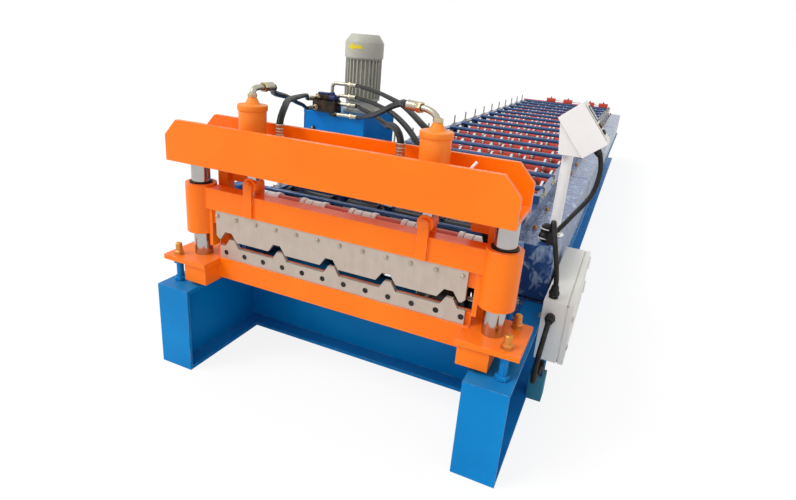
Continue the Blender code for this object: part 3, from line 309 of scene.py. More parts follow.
# The finish of each solid of the frame. The shafts are red and the cords black
nodesOfFinish = {
    "frameBlueEnamel": "base_frame", "tankBlueEnamel": "oil_tank", "filmedDeckBlue": "side_plate_right",
    "deckBlueEnamel": "side_plate_left tie_bar_ladder", "filmedBlue": "chain_guard",
    "orangeEnamel": "lower_shear_frame upper_crossbeam cylinder_left cylinder_right moving_beam",
    "redOxideEnamel": "lower_roll_bed entry_guide", "groundToolSteel": "lower_blade upper_blade",
    "hardChrome": "pillar_left pillar_right piston_rod_left piston_rod_right", "greyEnamel": "pump_motor",
    "cabinetPowderCoat": "electric_cabinet cabinet_door", "whitePowderCoat": "operator_console",
    "zincPlate": "valve_block",
}
finishOfNode = {name: finish for finish, names in nodesOfFinish.items() for name in names.split()}
for name, node in nodes.items():
    finish = finishOfNode.get(name, "redOxideEnamel" if name.startswith("upper_roll") else "blackRubber")
    node.data.materials.clear()
    node.data.materials.append(bpy.data.materials[finish])


# Ways to make and place the shapes that the pieces are built from
def placed(spot, way=(0, 0, 1), spin=0.0):
    turn = Vector(way).to_track_quat("Z", "Y").to_matrix().to_4x4()
    return Matrix.Translation(spot) @ turn @ Matrix.Rotation(math.radians(spin), 4, "Z")


# Even turns about the upright axis, the first one half a step round
def evenTurns(count):
    return [Matrix.Rotation(2 * math.pi * (number + 0.5) / count, 4, "Z") for number in range(count)]


def turned(profile, steps):
    part = bmesh.new()
    points = [part.verts.new((radius, 0, along)) for radius, along in profile]
    edges = [part.edges.new(pair) for pair in zip(points, points[1:])]
    bmesh.ops.spin(part, geom=points + edges, cent=(0, 0, 0), axis=(0, 0, 1), angle=2 * math.pi, steps=steps,
        use_merge=True)
    bmesh.ops.remove_doubles(part, verts=part.verts, dist=1e-6)
    return part


# A turned shape with flat ends: solid, or a ring round its bore
def lathe(outline, steps, bore=0):
    first, last = (bore, outline[0][1]), (bore, outline[-1][1])
    return turned([first, *outline, last] + ([first] if bore else []), steps)


def block(low, high, bevel=0.002, segments=2):
    part = bmesh.new()
    low, high = Vector(low), Vector(high)
    bmesh.ops.create_cube(part, size=1, matrix=Matrix.LocRotScale((high + low) / 2, None, high - low))
    if bevel:
        bmesh.ops.bevel(part, geom=part.edges[:], offset=bevel, offset_type="OFFSET", segments=segments,
            profile=0.5, affect="EDGES", material=-1)
    return part


def plate(outline, thickness):
    part = bmesh.new()
    face = part.faces.new([part.verts.new((x, y, 0)) for x, y in outline])
    grown = bmesh.ops.extrude_face_region(part, geom=[face])["geom"]
    bmesh.ops.translate(part, verts=[v for v in grown if isinstance(v, bmesh.types.BMVert)], vec=(0, 0, thickness))
    return part


# A round line along a route, with every second ring drawn in where it is ribbed
def roundLine(name, route, radius, resolution, ribDepth=0.0, capped=True):
    curve = bpy.data.curves.new(name, "CURVE")
    curve.dimensions = "3D"
    curve.bevel_depth = radius
    curve.bevel_resolution = resolution
    curve.use_fill_caps = capped
    line = curve.splines.new("POLY")
    line.points.add(len(route) - 1)
    for number, (point, place) in enumerate(zip(line.points, route)):
        point.co = (*place, 1)
        point.radius = 1.0 - ribDepth * (number % 2)
    line.use_smooth = True
    return curve


def lineForm(curve):
    holder = bpy.data.objects.new("line", curve)
    mesh = bpy.data.meshes.new_from_object(holder)
    part = bmesh.new()
    part.from_mesh(mesh)
    bpy.data.objects.remove(holder)
    bpy.data.curves.remove(curve)
    bpy.data.meshes.remove(mesh)
    return part


def pipe(route, radius, sides=20):
    part = lineForm(roundLine("pipe", route, radius, max(1, sides // 4 - 1)))
    bmesh.ops.remove_doubles(part, verts=part.verts, dist=1e-6)
    return part


# Hexagon head or nut on its washer, with the end of its stud where it has one
def fastener(across, height, washer, steps, stud=0):
    part = lathe([(across * 0.46, height), (across * 0.57, height * 0.82), (across * 0.57, 0.0015)], 6)
    join(part, lathe([(across * 0.55 * washer, 0.0018), (across * 0.57 * washer, 0)], steps))
    if stud:
        join(part, lathe([(across * 0.26, height + stud), (across * 0.31, height + stud * 0.85),
            (across * 0.31, height - 0.001)], steps))
    return part


def join(form, part, spot=Matrix(), way=(0, 0, 1), spin=0.0, slot=0, keep=False):
    if keep:
        part = part.copy()
    place = spot if isinstance(spot, Matrix) else placed(spot, way, spin)
    bmesh.ops.transform(part, matrix=place, verts=part.verts)
    if slot:
        for face in part.faces:
            face.material_index = slot
    carrier = bpy.data.meshes.new("carrier")
    part.to_mesh(carrier)
    part.free()
    form.from_mesh(carrier)
    bpy.data.meshes.remove(carrier)


def finished(name, form, slotName, *paints, body="frame", replaced=(), place=None, angle=34):
    if place:
        bmesh.ops.transform(form, matrix=place, verts=form.verts)
    bmesh.ops.recalc_face_normals(form, faces=form.faces)
    mesh = bpy.data.meshes.new(name)
    form.to_mesh(mesh)
    form.free()
    mesh.shade_smooth()
    mesh.set_sharp_from_angle(angle=math.radians(angle))
    for finish in paints:
        mesh.materials.append(bpy.data.materials[finish])
    piece = linked(name, mesh)
    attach(piece, body)
    if replaced:
        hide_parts(*replaced)
    return piece


def smoothRoute(stations, spacing):
    stations = [Vector(point) for point in stations]
    straight = max(1, round((stations[1] - stations[0]).length / spacing))
    fine = [stations[0].lerp(stations[1], step / straight) for step in range(straight)]
    for a, b, c, d in zip(stations, stations[1:], stations[2:], stations[3:]):
        count = max(2, round((c - b).length / spacing))
        for step in range(count):
            t = step / count
            fine.append(0.5 * (2 * b + (c - a) * t + (2 * a - 5 * b + 4 * c - d) * t ** 2
                + (3 * b - a - 3 * c + d) * t ** 3))
    straight = max(1, round((stations[-1] - stations[-2]).length / spacing))
    fine += [stations[-2].lerp(stations[-1], step / straight) for step in range(straight + 1)]
    return fine


# Hoses: wire-braided rubber in a ribbed cover, its ribs coarser than the real 2 mm so that they show. Each ends in
# a crimped ferrule and its nut
hoseSettings = {
    "radius": 0.0125, "lead": 0.05, "gap": 0.0003, "easing": 90, "ribSpacing": 0.0045, "ribDepth": 0.045,
    "ferruleRadius": 0.016, "ferruleLength": 0.04, "nutRadius": 0.0185, "nutLength": 0.016,
}
tankPorts = {
    "front_low": ((-1.19, 1.353, 0.8383), (0, -1, 0)), "front_high": ((-1.19, 1.353, 0.9053), (0, -1, 0)),
    "lower_one": ((-0.936, 1.47, 0.8753), (1, 0, 0)), "lower_two": ((-0.9, 1.426, 0.8063), (1, 0, 0)),
    "upper_one": ((-0.95, 1.49, 0.9303), (1, 0, 0)), "upper_two": ((-0.95, 1.49, 1.0113), (1, 0, 0)),
}
cylinderPorts = {
    "left_cap": ((-0.345, -0.29, 1.1443), (0, 1, 0)), "left_port": ((-0.23, -0.365, 0.995), (0, 0, 1)),
    "right_cap": ((0.27, -0.347, 1.1493), (-0.9632, 0.2627, 0.0584)), "right_port": ((0.23, -0.365, 0.995), (0, 0, 1)),
}
drivePorts = {"near": ((0.29, -0.107, 0.4023), (0, -1, 0)), "far": ((0.37, -0.107, 0.4023), (0, -1, 0))}
hoseRoutes = {
    "hose_left_cap": (cylinderPorts["left_cap"], tankPorts["front_low"],
        [(-0.461, -0.08, 1.1), (-0.691, 0.35, 1.03), (-0.914, 0.76, 0.951), (-1.077, 1.08, 0.891)]),
    "hose_left_port": (cylinderPorts["left_port"], tankPorts["front_high"],
        [(-0.262, -0.29, 1.082), (-0.345, -0.15, 1.086), (-0.492, 0.1, 1.062), (-0.775, 0.6, 1.01),
        (-1.009, 1.02, 0.963)]),
    "hose_right_cap": (cylinderPorts["right_cap"], tankPorts["lower_two"],
        [(0.142, -0.17, 1.134), (0.051, -0.05, 1.103), (-0.069, 0.12, 1.054), (-0.25, 0.4, 0.989),
        (-0.533, 0.85, 0.902), (-0.716, 1.15, 0.848), (-0.81, 1.34, 0.818)]),
    "hose_right_port": (cylinderPorts["right_port"], tankPorts["lower_one"],
        [(0.175, -0.29, 1.066), (0.1, -0.17, 1.052), (-0.02, 0.08, 1.006), (-0.244, 0.48, 0.963), (-0.445, 0.8, 0.936),
        (-0.684, 1.14, 0.908), (-0.83, 1.39, 0.882)]),
    "drive_hose_1": (tankPorts["upper_two"], drivePorts["far"],
        [(-0.764, 1.28, 1.027), (-0.552, 1.0, 1.044), (-0.372, 0.76, 1.054), (-0.213, 0.54, 1.06),
        (-0.073, 0.34, 1.064), (0.059, 0.14, 1.058), (0.198, -0.06, 1.04), (0.33, -0.15, 0.985), (0.47, -0.183, 0.9),
        (0.527, -0.196, 0.79), (0.53, -0.196, 0.64), (0.527, -0.196, 0.52), (0.485, -0.197, 0.435),
        (0.42, -0.2, 0.408)]),
    "drive_hose_2": (tankPorts["upper_one"], drivePorts["near"],
        [(-0.744, 1.25, 0.953), (-0.523, 0.95, 0.979), (-0.339, 0.7, 0.993), (-0.172, 0.46, 1.005),
        (-0.016, 0.22, 1.007), (0.106, 0.03, 0.999), (0.2, -0.11, 0.978), (0.31, -0.195, 0.925), (0.43, -0.221, 0.86),
        (0.5, -0.228, 0.765), (0.527, -0.229, 0.64), (0.522, -0.23, 0.5), (0.47, -0.234, 0.41),
        (0.38, -0.238, 0.385)]),
}
# Conduits: corrugated plastic tube between screwed glands
conduitSettings = {"radius": 0.0105, "lead": 0.03, "gap": 0.0003, "ribSpacing": 0.0035, "ribDepth": 0.14}
glandOutlines = {
    "boot": [(0.0125, 0.03), (0.0165, 0.004), (0.019, 0.002), (0.019, 0.0003)],
    "dome": [(0.0125, 0.02), (0.015, 0.01), (0.0155, 0.0003), (0.0155, -0.002)],
    "body": [(0.0155, -0.002), (0.0185, -0.002), (0.0195, -0.004), (0.0195, -0.018), (0.0155, -0.02), (0.0155, -0.002)],
    "lockRing": [(0.0155, -0.02), (0.0175, -0.021), (0.0175, -0.0285), (0.0155, -0.0285), (0.0155, -0.02)],
}
tilt = math.radians(51)      # of the console's head towards the operator
headWay = math.cos(tilt), 0, -math.sin(tilt)
headEnd = 0.7073 + headWay[0] * 0.0935, 0.37, 1.0566 + headWay[2] * 0.0935
conduitEnds = {
    "head": (headEnd, headWay), "console_gland": ((0.6615, 0.285, 0.6215), (0.70711, 0, 0.70711)),
    "guard_gland": ((0.6683, 0.235, 0.6303), (0, 0, 1)), "cabinet_top": ((0.7383, 0.035, 0.492), (0, 0, 1)),
    "cabinet_front": ((0.7453, -0.037, 0.4), (0, -1, 0)), "foot": ((0.735, 0.005, 0.15), (0, -1, 0)),
}
conduitRoutes = {
    "console_conduit": (conduitEnds["head"], conduitEnds["console_gland"],
        [(0.798, 0.36, 0.895), (0.785, 0.335, 0.805), (0.735, 0.305, 0.722)]),
    "cabinet_conduit": (conduitEnds["guard_gland"], conduitEnds["cabinet_top"],
        [(0.678, 0.168, 0.712), (0.7, 0.09, 0.672), (0.726, 0.045, 0.59)]),
    "foot_conduit": (conduitEnds["cabinet_front"], conduitEnds["foot"],
        [(0.744, -0.145, 0.36), (0.74, -0.178, 0.28), (0.737, -0.14, 0.195)]),
}


def cordEnds(start, end, settings):
    stations = []
    for (place, way), order in ((start, 1), (end, -1)):
        first = Vector(place) + Vector(way) * settings["gap"]
        stations.append([first, first + Vector(way) * settings["lead"]][::order])
    return stations


def ribbedCord(name, start, end, middle, settings, finish):
    near, far = cordEnds(start, end, settings)
    route = smoothRoute(near + [Vector(point) for point in middle] + far, settings["ribSpacing"])
    for _ in range(settings.get("easing", 0)):
        eased = [(a + 2 * b + c) / 4 for a, b, c in zip(route[8:-10], route[9:-9], route[10:-8])]
        route = route[:9] + eased + route[-9:]
    curve = roundLine(name, route, settings["radius"], 2, settings["ribDepth"])
    curve.materials.append(bpy.data.materials[finish])
    cord = linked(name + "_cover", curve)
    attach(cord, "frame")
    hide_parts(name)
    length = sum((b - a).length for a, b in zip(route, route[1:]))
    return cord, tuple(route[0]), length


# Crimped ferrule over the hose's end, with the nut that holds it to its port
def hoseFitting():
    radius, reach = hoseSettings["ferruleRadius"], hoseSettings["ferruleLength"]
    inner = hoseSettings["radius"] + 0.0004
    outline = [(radius - 0.0015, reach), (radius, reach - 0.0015)]
    for crimp in (0.3, 0.55, 0.8):
        outline += [(radius, reach * (1 - crimp) + 0.004), (radius - 0.0007, reach * (1 - crimp) + 0.002),
            (radius - 0.0007, reach * (1 - crimp) - 0.002), (radius, reach * (1 - crimp) - 0.004)]
    part = lathe(outline + [(radius, 0.0)], 24, inner)
    nut, long = hoseSettings["nutRadius"], hoseSettings["nutLength"]
    join(part, lathe([(nut - 0.002, 0.001), (nut, -0.002), (nut, -long + 0.002), (nut - 0.002, -long)], 6, 0.0135),
        slot=1)
    return part


for name, (start, end, middle) in hoseRoutes.items():
    cord, exit, length = ribbedCord(name, start, end, middle, hoseSettings, "blackRubber")
    form = bmesh.new()
    for place, way in (start, end):
        join(form, hoseFitting(), place, way)
    ends = finished(name + "_ferrules", form, "valve_steel", "zincPlate", "fittingBrass")
    print(name, "length", round(length, 3))

for name, (start, end, middle) in conduitRoutes.items():
    cord, exit, length = ribbedCord(name, start, end, middle, conduitSettings, "blackPlastic")
    form = bmesh.new()
    for number, (place, way) in enumerate((start, end)):
        if (name, number) == ("console_conduit", 0):
            join(form, lathe(glandOutlines["boot"], 20, 0.0108), place, way)
            continue
        join(form, lathe(glandOutlines["dome"], 20, 0.0108), place, way)
        join(form, turned(glandOutlines["body"], 6), place, way)
        join(form, turned(glandOutlines["lockRing"], 24), place, way)
    ends = finished(name + "_glands", form, "black_hose", "blackPlastic")
    print(name, "length", round(length, 3))
print("hoses and conduits laid")


# Roll shafts: red spacer tubes between chromed discs, a pair to each rib, with a groove between them. The shaft
# next to the shear is a full drum, coloured nearly black as painted shade and dark reflection under the crossbeam
rollSettings = {
    "disc": 0.0675, "tube": 0.05, "groove": 0.036, "journal": 0.025, "grooveHalf": 0.039, "grooveFloor": 0.025,
    "discWidth": 0.013, "tubeEnd": 0.502, "end": 0.5417, "steps": 36, "chamfer": 0.0015, "firstDrum": 0.0655,
}


def rollProfile(tube):
    disc, chamfer = rollSettings["disc"], rollSettings["chamfer"]
    edge, floor = rollSettings["grooveHalf"], rollSettings["grooveFloor"]
    journal, end, tubeEnd = rollSettings["journal"], rollSettings["end"], rollSettings["tubeEnd"]
    profile = [(journal, end), (journal, tubeEnd + 0.012), (0.034, tubeEnd + 0.012), (0.034, tubeEnd), (tube, tubeEnd)]
    for place in reversed(ribPlaces):
        top, bottom = place + edge + rollSettings["discWidth"], place - edge - rollSettings["discWidth"]
        profile += [(tube, top), (disc - chamfer, top), (disc, top - chamfer), (disc, place + edge + chamfer),
            (disc - chamfer, place + edge - 0.0006), (rollSettings["groove"], place + floor),
            (rollSettings["groove"], place - floor), (disc - chamfer, place - edge + 0.0006),
            (disc, place - edge - chamfer), (disc, bottom + chamfer), (disc - chamfer, bottom), (tube, bottom)]
    return profile + [(radius, -along) for radius, along in reversed(profile[:5])]


for number, y in enumerate(rollRows, 1):
    tube = rollSettings["firstDrum"] if number == 1 else rollSettings["tube"]
    form = lathe(rollProfile(tube), rollSettings["steps"])
    for face in form.faces:
        along = face.calc_center_median().z
        past = min(abs(along - place) for place in ribPlaces) - rollSettings["grooveHalf"]
        onDisc = -0.0125 < past < rollSettings["discWidth"] + 0.0005
        face.material_index = int(onDisc or abs(along) > rollSettings["tubeEnd"] + 0.001)
    # The first shaft is coloured nearly black: painted shade
    paints = ("darkRollSteel", "darkRollSteel") if number == 1 else ("redOxideEnamel", "rollChrome")
    finished(f"roll_shaft_{number:02d}", form, "roll_red", *paints, body=f"roll_{number:02d}",
        replaced=[f"upper_roll_{number:02d}"], angle=28, place=placed((0, y, upperAxis), (1, 0, 0)))

# Lower drums with the rings that press the ribs up, higher from pass to pass towards the shear. Those in the row
# next to it are coloured nearly black too, as painted shade
drumSettings = {
    "radius": 0.0735, "end": 0.503, "bore": 0.026, "ringFoot": 0.022, "ringTop": 0.0125, "tallest": 0.029,
}
for group, rows in enumerate((rollRows[:9], rollRows[9:])):
    form = bmesh.new()
    for y in rows:
        rise = drumSettings["tallest"] * (1 - rollRows.index(y) / len(rollRows))
        radius, end, foot, top = (drumSettings[key] for key in ("radius", "end", "ringFoot", "ringTop"))
        profile = [(radius - 0.002, end), (radius, end - 0.002)]
        for place in reversed(ribPlaces):
            profile += [(radius, place + foot), (radius + rise, place + top), (radius + rise, place - top),
                (radius, place - foot)]
        profile += [(radius, -end + 0.002), (radius - 0.002, -end)]
        join(form, lathe(profile, 32, drumSettings["bore"]), (0, y, lowerAxis), (1, 0, 0), slot=int(y == rollRows[0]))
    finished(f"lower_drums_{group + 1}", form, "chrome", "rollChrome", "darkRollSteel")


# Blocks that stand the same on both sides of the middle
def mirrored(name, low, high, bevel, segments, slotName, finish):
    form = bmesh.new()
    for side in (-1, 1):
        near, far = sorted((side * low[0], side * high[0]))
        join(form, block((near, *low[1:]), (far, *high[1:]), bevel, segments))
    finished(name, form, slotName, finish)


# Bearing rails: blue bars inside the side plates, beside the ends of the lower rolls
mirrored("bearing_rails", (0.5203, -0.1235, 0.4185), (0.5414, 5.8495, 0.4815), 0.0012, 1, "deck_blue",
    "deckBlueEnamel")
print("rolls turned")

# Red outlet roller just behind the shear, with white sleeves where the ribs pass, and the round bar behind it
outletSettings = {
    "spot": (0, -0.13, 0.67), "radius": 0.026, "half": 0.519, "sleeve": 0.03, "collar": 0.003, "bore": 0.0262,
    "barSpot": (0, -0.018, 0.672), "bar": 0.0095, "barHalf": 0.556,
}
form = lathe([(outletSettings["radius"], side * outletSettings["half"]) for side in (1, -1)], 28)
for place in ribPlaces:
    for low, high in ((-0.058, -0.04), (-0.036, -0.004), (0.0, 0.036), (0.04, 0.058)):
        sleeve = outletSettings["sleeve"] + outletSettings["collar"] * (high - low < 0.02)
        low, high = place + low, place + high
        join(form, lathe([(sleeve - 0.001, high), (sleeve, high - 0.001), (sleeve, low + 0.001), (sleeve - 0.001, low)],
            28, outletSettings["bore"]), slot=1)
finished("outlet_roller", form, "roll_red", "redOxideEnamel", "whiteNylon",
    place=placed(outletSettings["spot"], (1, 0, 0)))
form = lathe([(outletSettings["bar"], side * outletSettings["barHalf"]) for side in (1, -1)], 28)
finished("outlet_bar", form, "deck_blue", "deckBlueEnamel", place=placed(outletSettings["barSpot"], (1, 0, 0)))

# Tie bars: a round bar across the deck at each row but the two at the open bay
tieSettings = {"radius": 0.0148, "half": 0.532, "z": 0.6576, "openRows": (1, 2)}
form = bmesh.new()
for row, y in enumerate(barRows):
    if row not in tieSettings["openRows"]:
        bar = lathe([(tieSettings["radius"], side * tieSettings["half"]) for side in (1, -1)], 20)
        join(form, bar, (0, y, tieSettings["z"]), (1, 0, 0))
finished("tie_bars_round", form, "deck_blue", "deckBlueEnamel")

# Deck hardware: pressure screws over each bearing, with lock nuts, and the bearing blocks' cap screws
deckSettings = {
    "screwX": 0.551, "railTop": 0.6649, "screwRadius": 0.0065, "tall": 0.078, "short": 0.046, "capShift": 0.05,
}
form = bmesh.new()
nut = fastener(0.02, 0.012, 1.25, 10)
cap = fastener(0.013, 0.008, 1.2, 8)
for row, y in enumerate(rollRows):
    for side, rise in ((-1, deckSettings["tall"]), (1, deckSettings["short"])):
        x, z, radius = side * deckSettings["screwX"], deckSettings["railTop"], deckSettings["screwRadius"]
        join(form, nut, (x, y, z), spin=17 * row, keep=True)
        join(form, lathe([(radius - 0.0015, rise), (radius, rise - 0.002), (radius, 0.004)], 10), (x, y, z))
        for way in (-1, 1):
            join(form, cap, (x, y + way * deckSettings["capShift"], z), spin=11 * row, keep=True)
nut.free()
cap.free()
finished("pressure_screws", form, "valve_steel", "zincPlate")

# Bearing plates on the open left side plate, one over each pair of shafts, with the shafts' ends
bearingSettings = {"face": -0.5605, "thickness": 0.01, "half": 0.04, "boltShift": 0.031, "upperDrop": 0.005}
form = bmesh.new()
bolt = fastener(0.013, 0.008, 1.2, 8)
face, half, shift = (bearingSettings[key] for key in ("face", "half", "boltShift"))
outer = face - bearingSettings["thickness"]
for row, y in enumerate(rollRows):
    for z in (upperAxis - bearingSettings["upperDrop"], lowerAxis):
        join(form, block((outer, y - half, z - half), (face, y + half, z + half), 0.003, 1))
        join(form, lathe([(0.016, 0.03), (0.018, 0.028), (0.018, 0.012), (0.03, 0.01), (0.032, 0.0)], 20),
            (outer + 0.001, y, z), (-1, 0, 0), slot=1)
        for up in (-shift, shift):
            for over in (-shift, shift):
                join(form, bolt, (outer, y + over, z + up), (-1, 0, 0), 13 * row, slot=1, keep=True)
bolt.free()
finished("bearing_plates_left", form, "deck_blue", "deckBlueEnamel", "blackedSteel")

# Screws that hold the side plates' feet to the rails, on both sides where the foot shows
footSettings = {
    "x": 0.595, "z": 0.3665, "first": -0.05, "pitch": 0.46, "count": 13, "rightSpins": {-0.02: 0, 0.12: 20},
}
form = bmesh.new()
bolt = fastener(0.024, 0.013, 1.3, 12, 0.01)
for step in range(footSettings["count"]):
    y = footSettings["first"] + footSettings["pitch"] * step
    join(form, bolt, (-footSettings["x"], y, footSettings["z"]), spin=y * 100, keep=True)
for y, spin in footSettings["rightSpins"].items():
    join(form, bolt, (footSettings["x"], y, footSettings["z"]), spin=spin, keep=True)
bolt.free()
finished("foot_bolts", form, "valve_steel", "zincPlate")
print("deck fitted out")

# Cylinders: honed tube in enamel, a screwed cap with a coned boss, zinc-plated steel pipes on the ports
cylinderSettings = {"radius": 0.049, "bottom": 0.8833, "top": 1.0883, "cap": 0.053, "pipe": 0.0105}
for side, word in ((-1, "left"), (1, "right")):
    spot = Vector((side * cylinderX, cylinderY, 0))
    low, high, radius = cylinderSettings["bottom"], cylinderSettings["top"], cylinderSettings["radius"]
    cap, pipeRadius = cylinderSettings["cap"], cylinderSettings["pipe"]
    form = turned([(0.024, low), (cap - 0.001, low), (cap, low + 0.001), (cap, low + 0.017),
        (cap - 0.0015, low + 0.019), (radius, low + 0.0195), (radius, high - 0.021), (cap - 0.001, high - 0.0205),
        (cap, high - 0.019), (cap, high - 0.003), (cap - 0.003, high), (0.03, high + 0.0005), (0.026, high + 0.003),
        (0.013, high + 0.028), (0.011, high + 0.03), (0.0, high + 0.03)], 48)
    finished(f"cylinder_body_{word}", form, "shear_orange", "cylinderEnamel", replaced=[f"cylinder_{word}"],
        place=Matrix.Translation(spot))
    boss = high + 0.03
    if side < 0:
        bend = [(0, 0, boss - 0.004), (0, 0, boss + 0.004), (0, 0.002, boss + 0.012), (0, 0.008, boss + 0.02),
            (0, 0.016, boss + 0.0245), (0, 0.026, boss + 0.026), (0, 0.075, boss + 0.026)]
    else:
        bend = [(0, 0, boss - 0.004), (-0.002, 0, boss + 0.004), (-0.008, 0.002, boss + 0.013),
            (-0.02, 0.0045, boss + 0.0215), (-0.032, 0.0072, boss + 0.026), (-0.044, 0.01, boss + 0.0292),
            (-0.075, 0.018, boss + 0.031)]
    out = -side
    port = low + 0.045
    elbow = [(out * 0.046, 0, port), (out * 0.09, 0, port), (out * 0.101, 0, port + 0.003),
        (out * 0.109, 0, port + 0.009), (out * 0.114, 0, port + 0.018), (out * 0.115, 0, port + 0.028),
        (out * 0.115, 0, 0.995)]
    form = pipe(bend, pipeRadius)
    join(form, pipe(elbow, pipeRadius))
    join(form, lathe([(0.015, 0.0), (0.0175, 0.002), (0.0175, 0.012), (0.015, 0.014)], 6, 0.0125),
        (0, 0, boss - 0.006), slot=1)
    join(form, lathe([(0.017, 0.0), (0.02, 0.002), (0.02, 0.014), (0.017, 0.016)], 6, 0.0125), (out * 0.049, 0, port),
        (out, 0, 0), slot=1)
    finished(f"cylinder_pipes_{word}", form, "valve_steel", "zincPlate", "fittingBrass",
        place=Matrix.Translation(spot))

    # Chromed rod, its eye between the clevis lugs, and the pin with its washers
    form = lathe([(0.0225, 0.95), (0.0225, 0.8055), (0.02, 0.803)], 32)
    bmesh.ops.translate(form, verts=form.verts, vec=spot)
    eye = lathe([(0.0275, 0.0), (0.028, 0.0005), (0.028, 0.0553), (0.0275, 0.0558)], 32)
    join(form, eye, (side * cylinderX, -0.3904, 0.7965), (0, 1, 0), slot=1)
    finished(f"piston_rod_{word}_turned", form, "chrome", "hardChrome", "orangeEnamel", body="cutter",
        replaced=[f"piston_rod_{word}"])
    form = lathe([(0.0105, -0.003), (0.0115, -0.002), (0.0115, 0.0905), (0.0105, 0.0915)], 24)
    join(form, lathe([(0.015, -0.0012), (0.015, 0.0)], 24, 0.0116))
    finished(f"clevis_pin_{word}", form, "shear_orange", "orangeEnamel", body="cutter",
        place=placed((side * cylinderX, -0.4033, 0.7965), (0, 1, 0)))

    # Guide pillar and the sleeve that rides on it, with a wiper ring at each end
    form = lathe([(0.0355, 0.8644), (0.036, 0.8639), (0.036, 0.4668), (0.0355, 0.4663)], 64)
    finished(f"guide_pillar_{word}", form, "chrome", "hardChrome", replaced=[f"pillar_{word}"],
        place=Matrix.Translation((side * pillarX, pillarY, 0)))
    form = turned([(0.0592, 0.5655), (0.0597, 0.566), (0.0597, 0.762), (0.0592, 0.7625), (0.044, 0.7625),
        (0.044, 0.7621), (0.0592, 0.7621), (0.0592, 0.5655)], 64)
    for low, high in ((0.7618, 0.768), (0.5605, 0.5662)):
        join(form, lathe([(0.044, low), (0.044, high - 0.001), (0.043, high)], 48, 0.0372), slot=1)
    finished(f"guide_sleeve_{word}", form, "shear_orange", "orangeEnamel", "blackRubber", body="cutter",
        place=Matrix.Translation((side * pillarX, pillarY, 0)))
print("cylinders, rods and pillars set")

# Screws of the blades: hexagon heads on the upper one, sunk socket screws in the lower one
bladeSettings = {
    "upperFirst": -0.498, "upperPitch": 0.0897, "upperZ": 0.65, "upperFace": -0.389, "lowerFirst": -0.476,
    "lowerPitch": 0.0882, "lowerZ": 0.497, "lowerFace": -0.37, "count": 12,
}
form = bmesh.new()
for number in range(bladeSettings["count"]):
    x = bladeSettings["upperFirst"] + bladeSettings["upperPitch"] * number
    join(form, fastener(0.0125, 0.007, 1.35, 16), (x, bladeSettings["upperFace"], bladeSettings["upperZ"]),
        (0, -1, 0), 23 * number)
finished("upper_blade_screws", form, "valve_steel", "zincPlate", body="cutter")
form = bmesh.new()
for number in range(bladeSettings["count"]):
    x = bladeSettings["lowerFirst"] + bladeSettings["lowerPitch"] * number
    place = placed((x, bladeSettings["lowerFace"], bladeSettings["lowerZ"]), (0, -1, 0), 31 * number)
    join(form, lathe([(0.0052, 0.0004), (0.0056, 0.001), (0.0096, 0.001), (0.01, 0.0006), (0.01, 0.0)], 20), place)
    join(form, lathe([(0.0114, 0.0005), (0.0114, 0.0)], 20, 0.0103), place, slot=1)
finished("lower_blade_screws", form, "blade_steel", "blackPlastic", "groundToolSteel")

# Foundation studs of the shear's base plates, with old brown nuts, and lock nuts under the plates
studSettings = {"x": 0.666, "rows": (frontY + 0.079, frontY + 0.229), "plateTop": 0.4664, "lockNuts": (0.4445, 0.37)}
form = bmesh.new()
for side in (-1, 1):
    for number, y in enumerate(studSettings["rows"]):
        x, z = side * studSettings["x"], studSettings["plateTop"]
        join(form, fastener(0.034, 0.016, 1.08, 24), (x, y, z), spin=14 + 29 * number)
        join(form, turned([(0, 0.048), (0.01, 0.047), (0.0125, 0.044), (0.013, 0.014), (0, 0.014)], 24), (x, y, z))
        for z in studSettings["lockNuts"]:
            join(form, lathe([(0.0225, 0), (0.024, -0.002), (0.024, -0.013), (0.0225, -0.0145)], 6, 0.0142), (x, y, z),
                spin=8 + 31 * number, slot=1)
finished("base_plate_nuts", form, "valve_steel", "rustedNut", "frameBlueEnamel")
print("shear fitted out")


# Weld beads: a row of short scales along a line, as a hand-held torch leaves them
def weldBead(form, start, end, radius, pitch=0.0055):
    start, end = Vector(start), Vector(end)
    count = max(2, round((end - start).length / pitch))
    route = [start.lerp(end, step / count) for step in range(count + 1)]
    join(form, lineForm(roundLine("bead", route, radius, 0, 0.28, capped=False)))


# Start, end and radius of the welds on the right. Each has its twin on the left
weldLines = {
    "shear": [((0.525, -0.457, 0.8635), (0.64, -0.457, 0.8635), 0.0035),
        ((0.525, -0.291, 0.8635), (0.64, -0.291, 0.8635), 0.0035),
        ((0.51, -0.45, 0.4465), (0.51, -0.33, 0.4465), 0.0035),
        ((0.552, -0.2895, 0.467), (0.552, -0.251, 0.467), 0.003)],
    "frame": [((0.63, -0.494, 0.02), (0.63, -0.494, 0.335), 0.004),
        ((0.565, -0.0755, 0.3545), (0.705, -0.0755, 0.3545), 0.003),
        ((0.562, 1.862, 0.3545), (0.562, 2.01, 0.3545), 0.003),
        ((0.562, 3.878, 0.3545), (0.562, 4.026, 0.3545), 0.003)],
}
weldForms = {group: bmesh.new() for group in weldLines}
for group, lines in weldLines.items():
    for side in (-1, 1):
        for start, end, radius in lines:
            weldBead(weldForms[group], (side * start[0], *start[1:]), (side * end[0], *end[1:]), radius)
# The two long ones under the crossbeam's edges
for y in (-0.463, -0.285):
    weldBead(weldForms["shear"], (-0.62, y, 0.8835), (0.62, y, 0.8835), 0.003)
finished("shear_weld_beads", weldForms["shear"], "shear_orange", "orangeEnamel")
finished("frame_weld_beads", weldForms["frame"], "frame_blue", "frameBlueEnamel")
print("welds run")

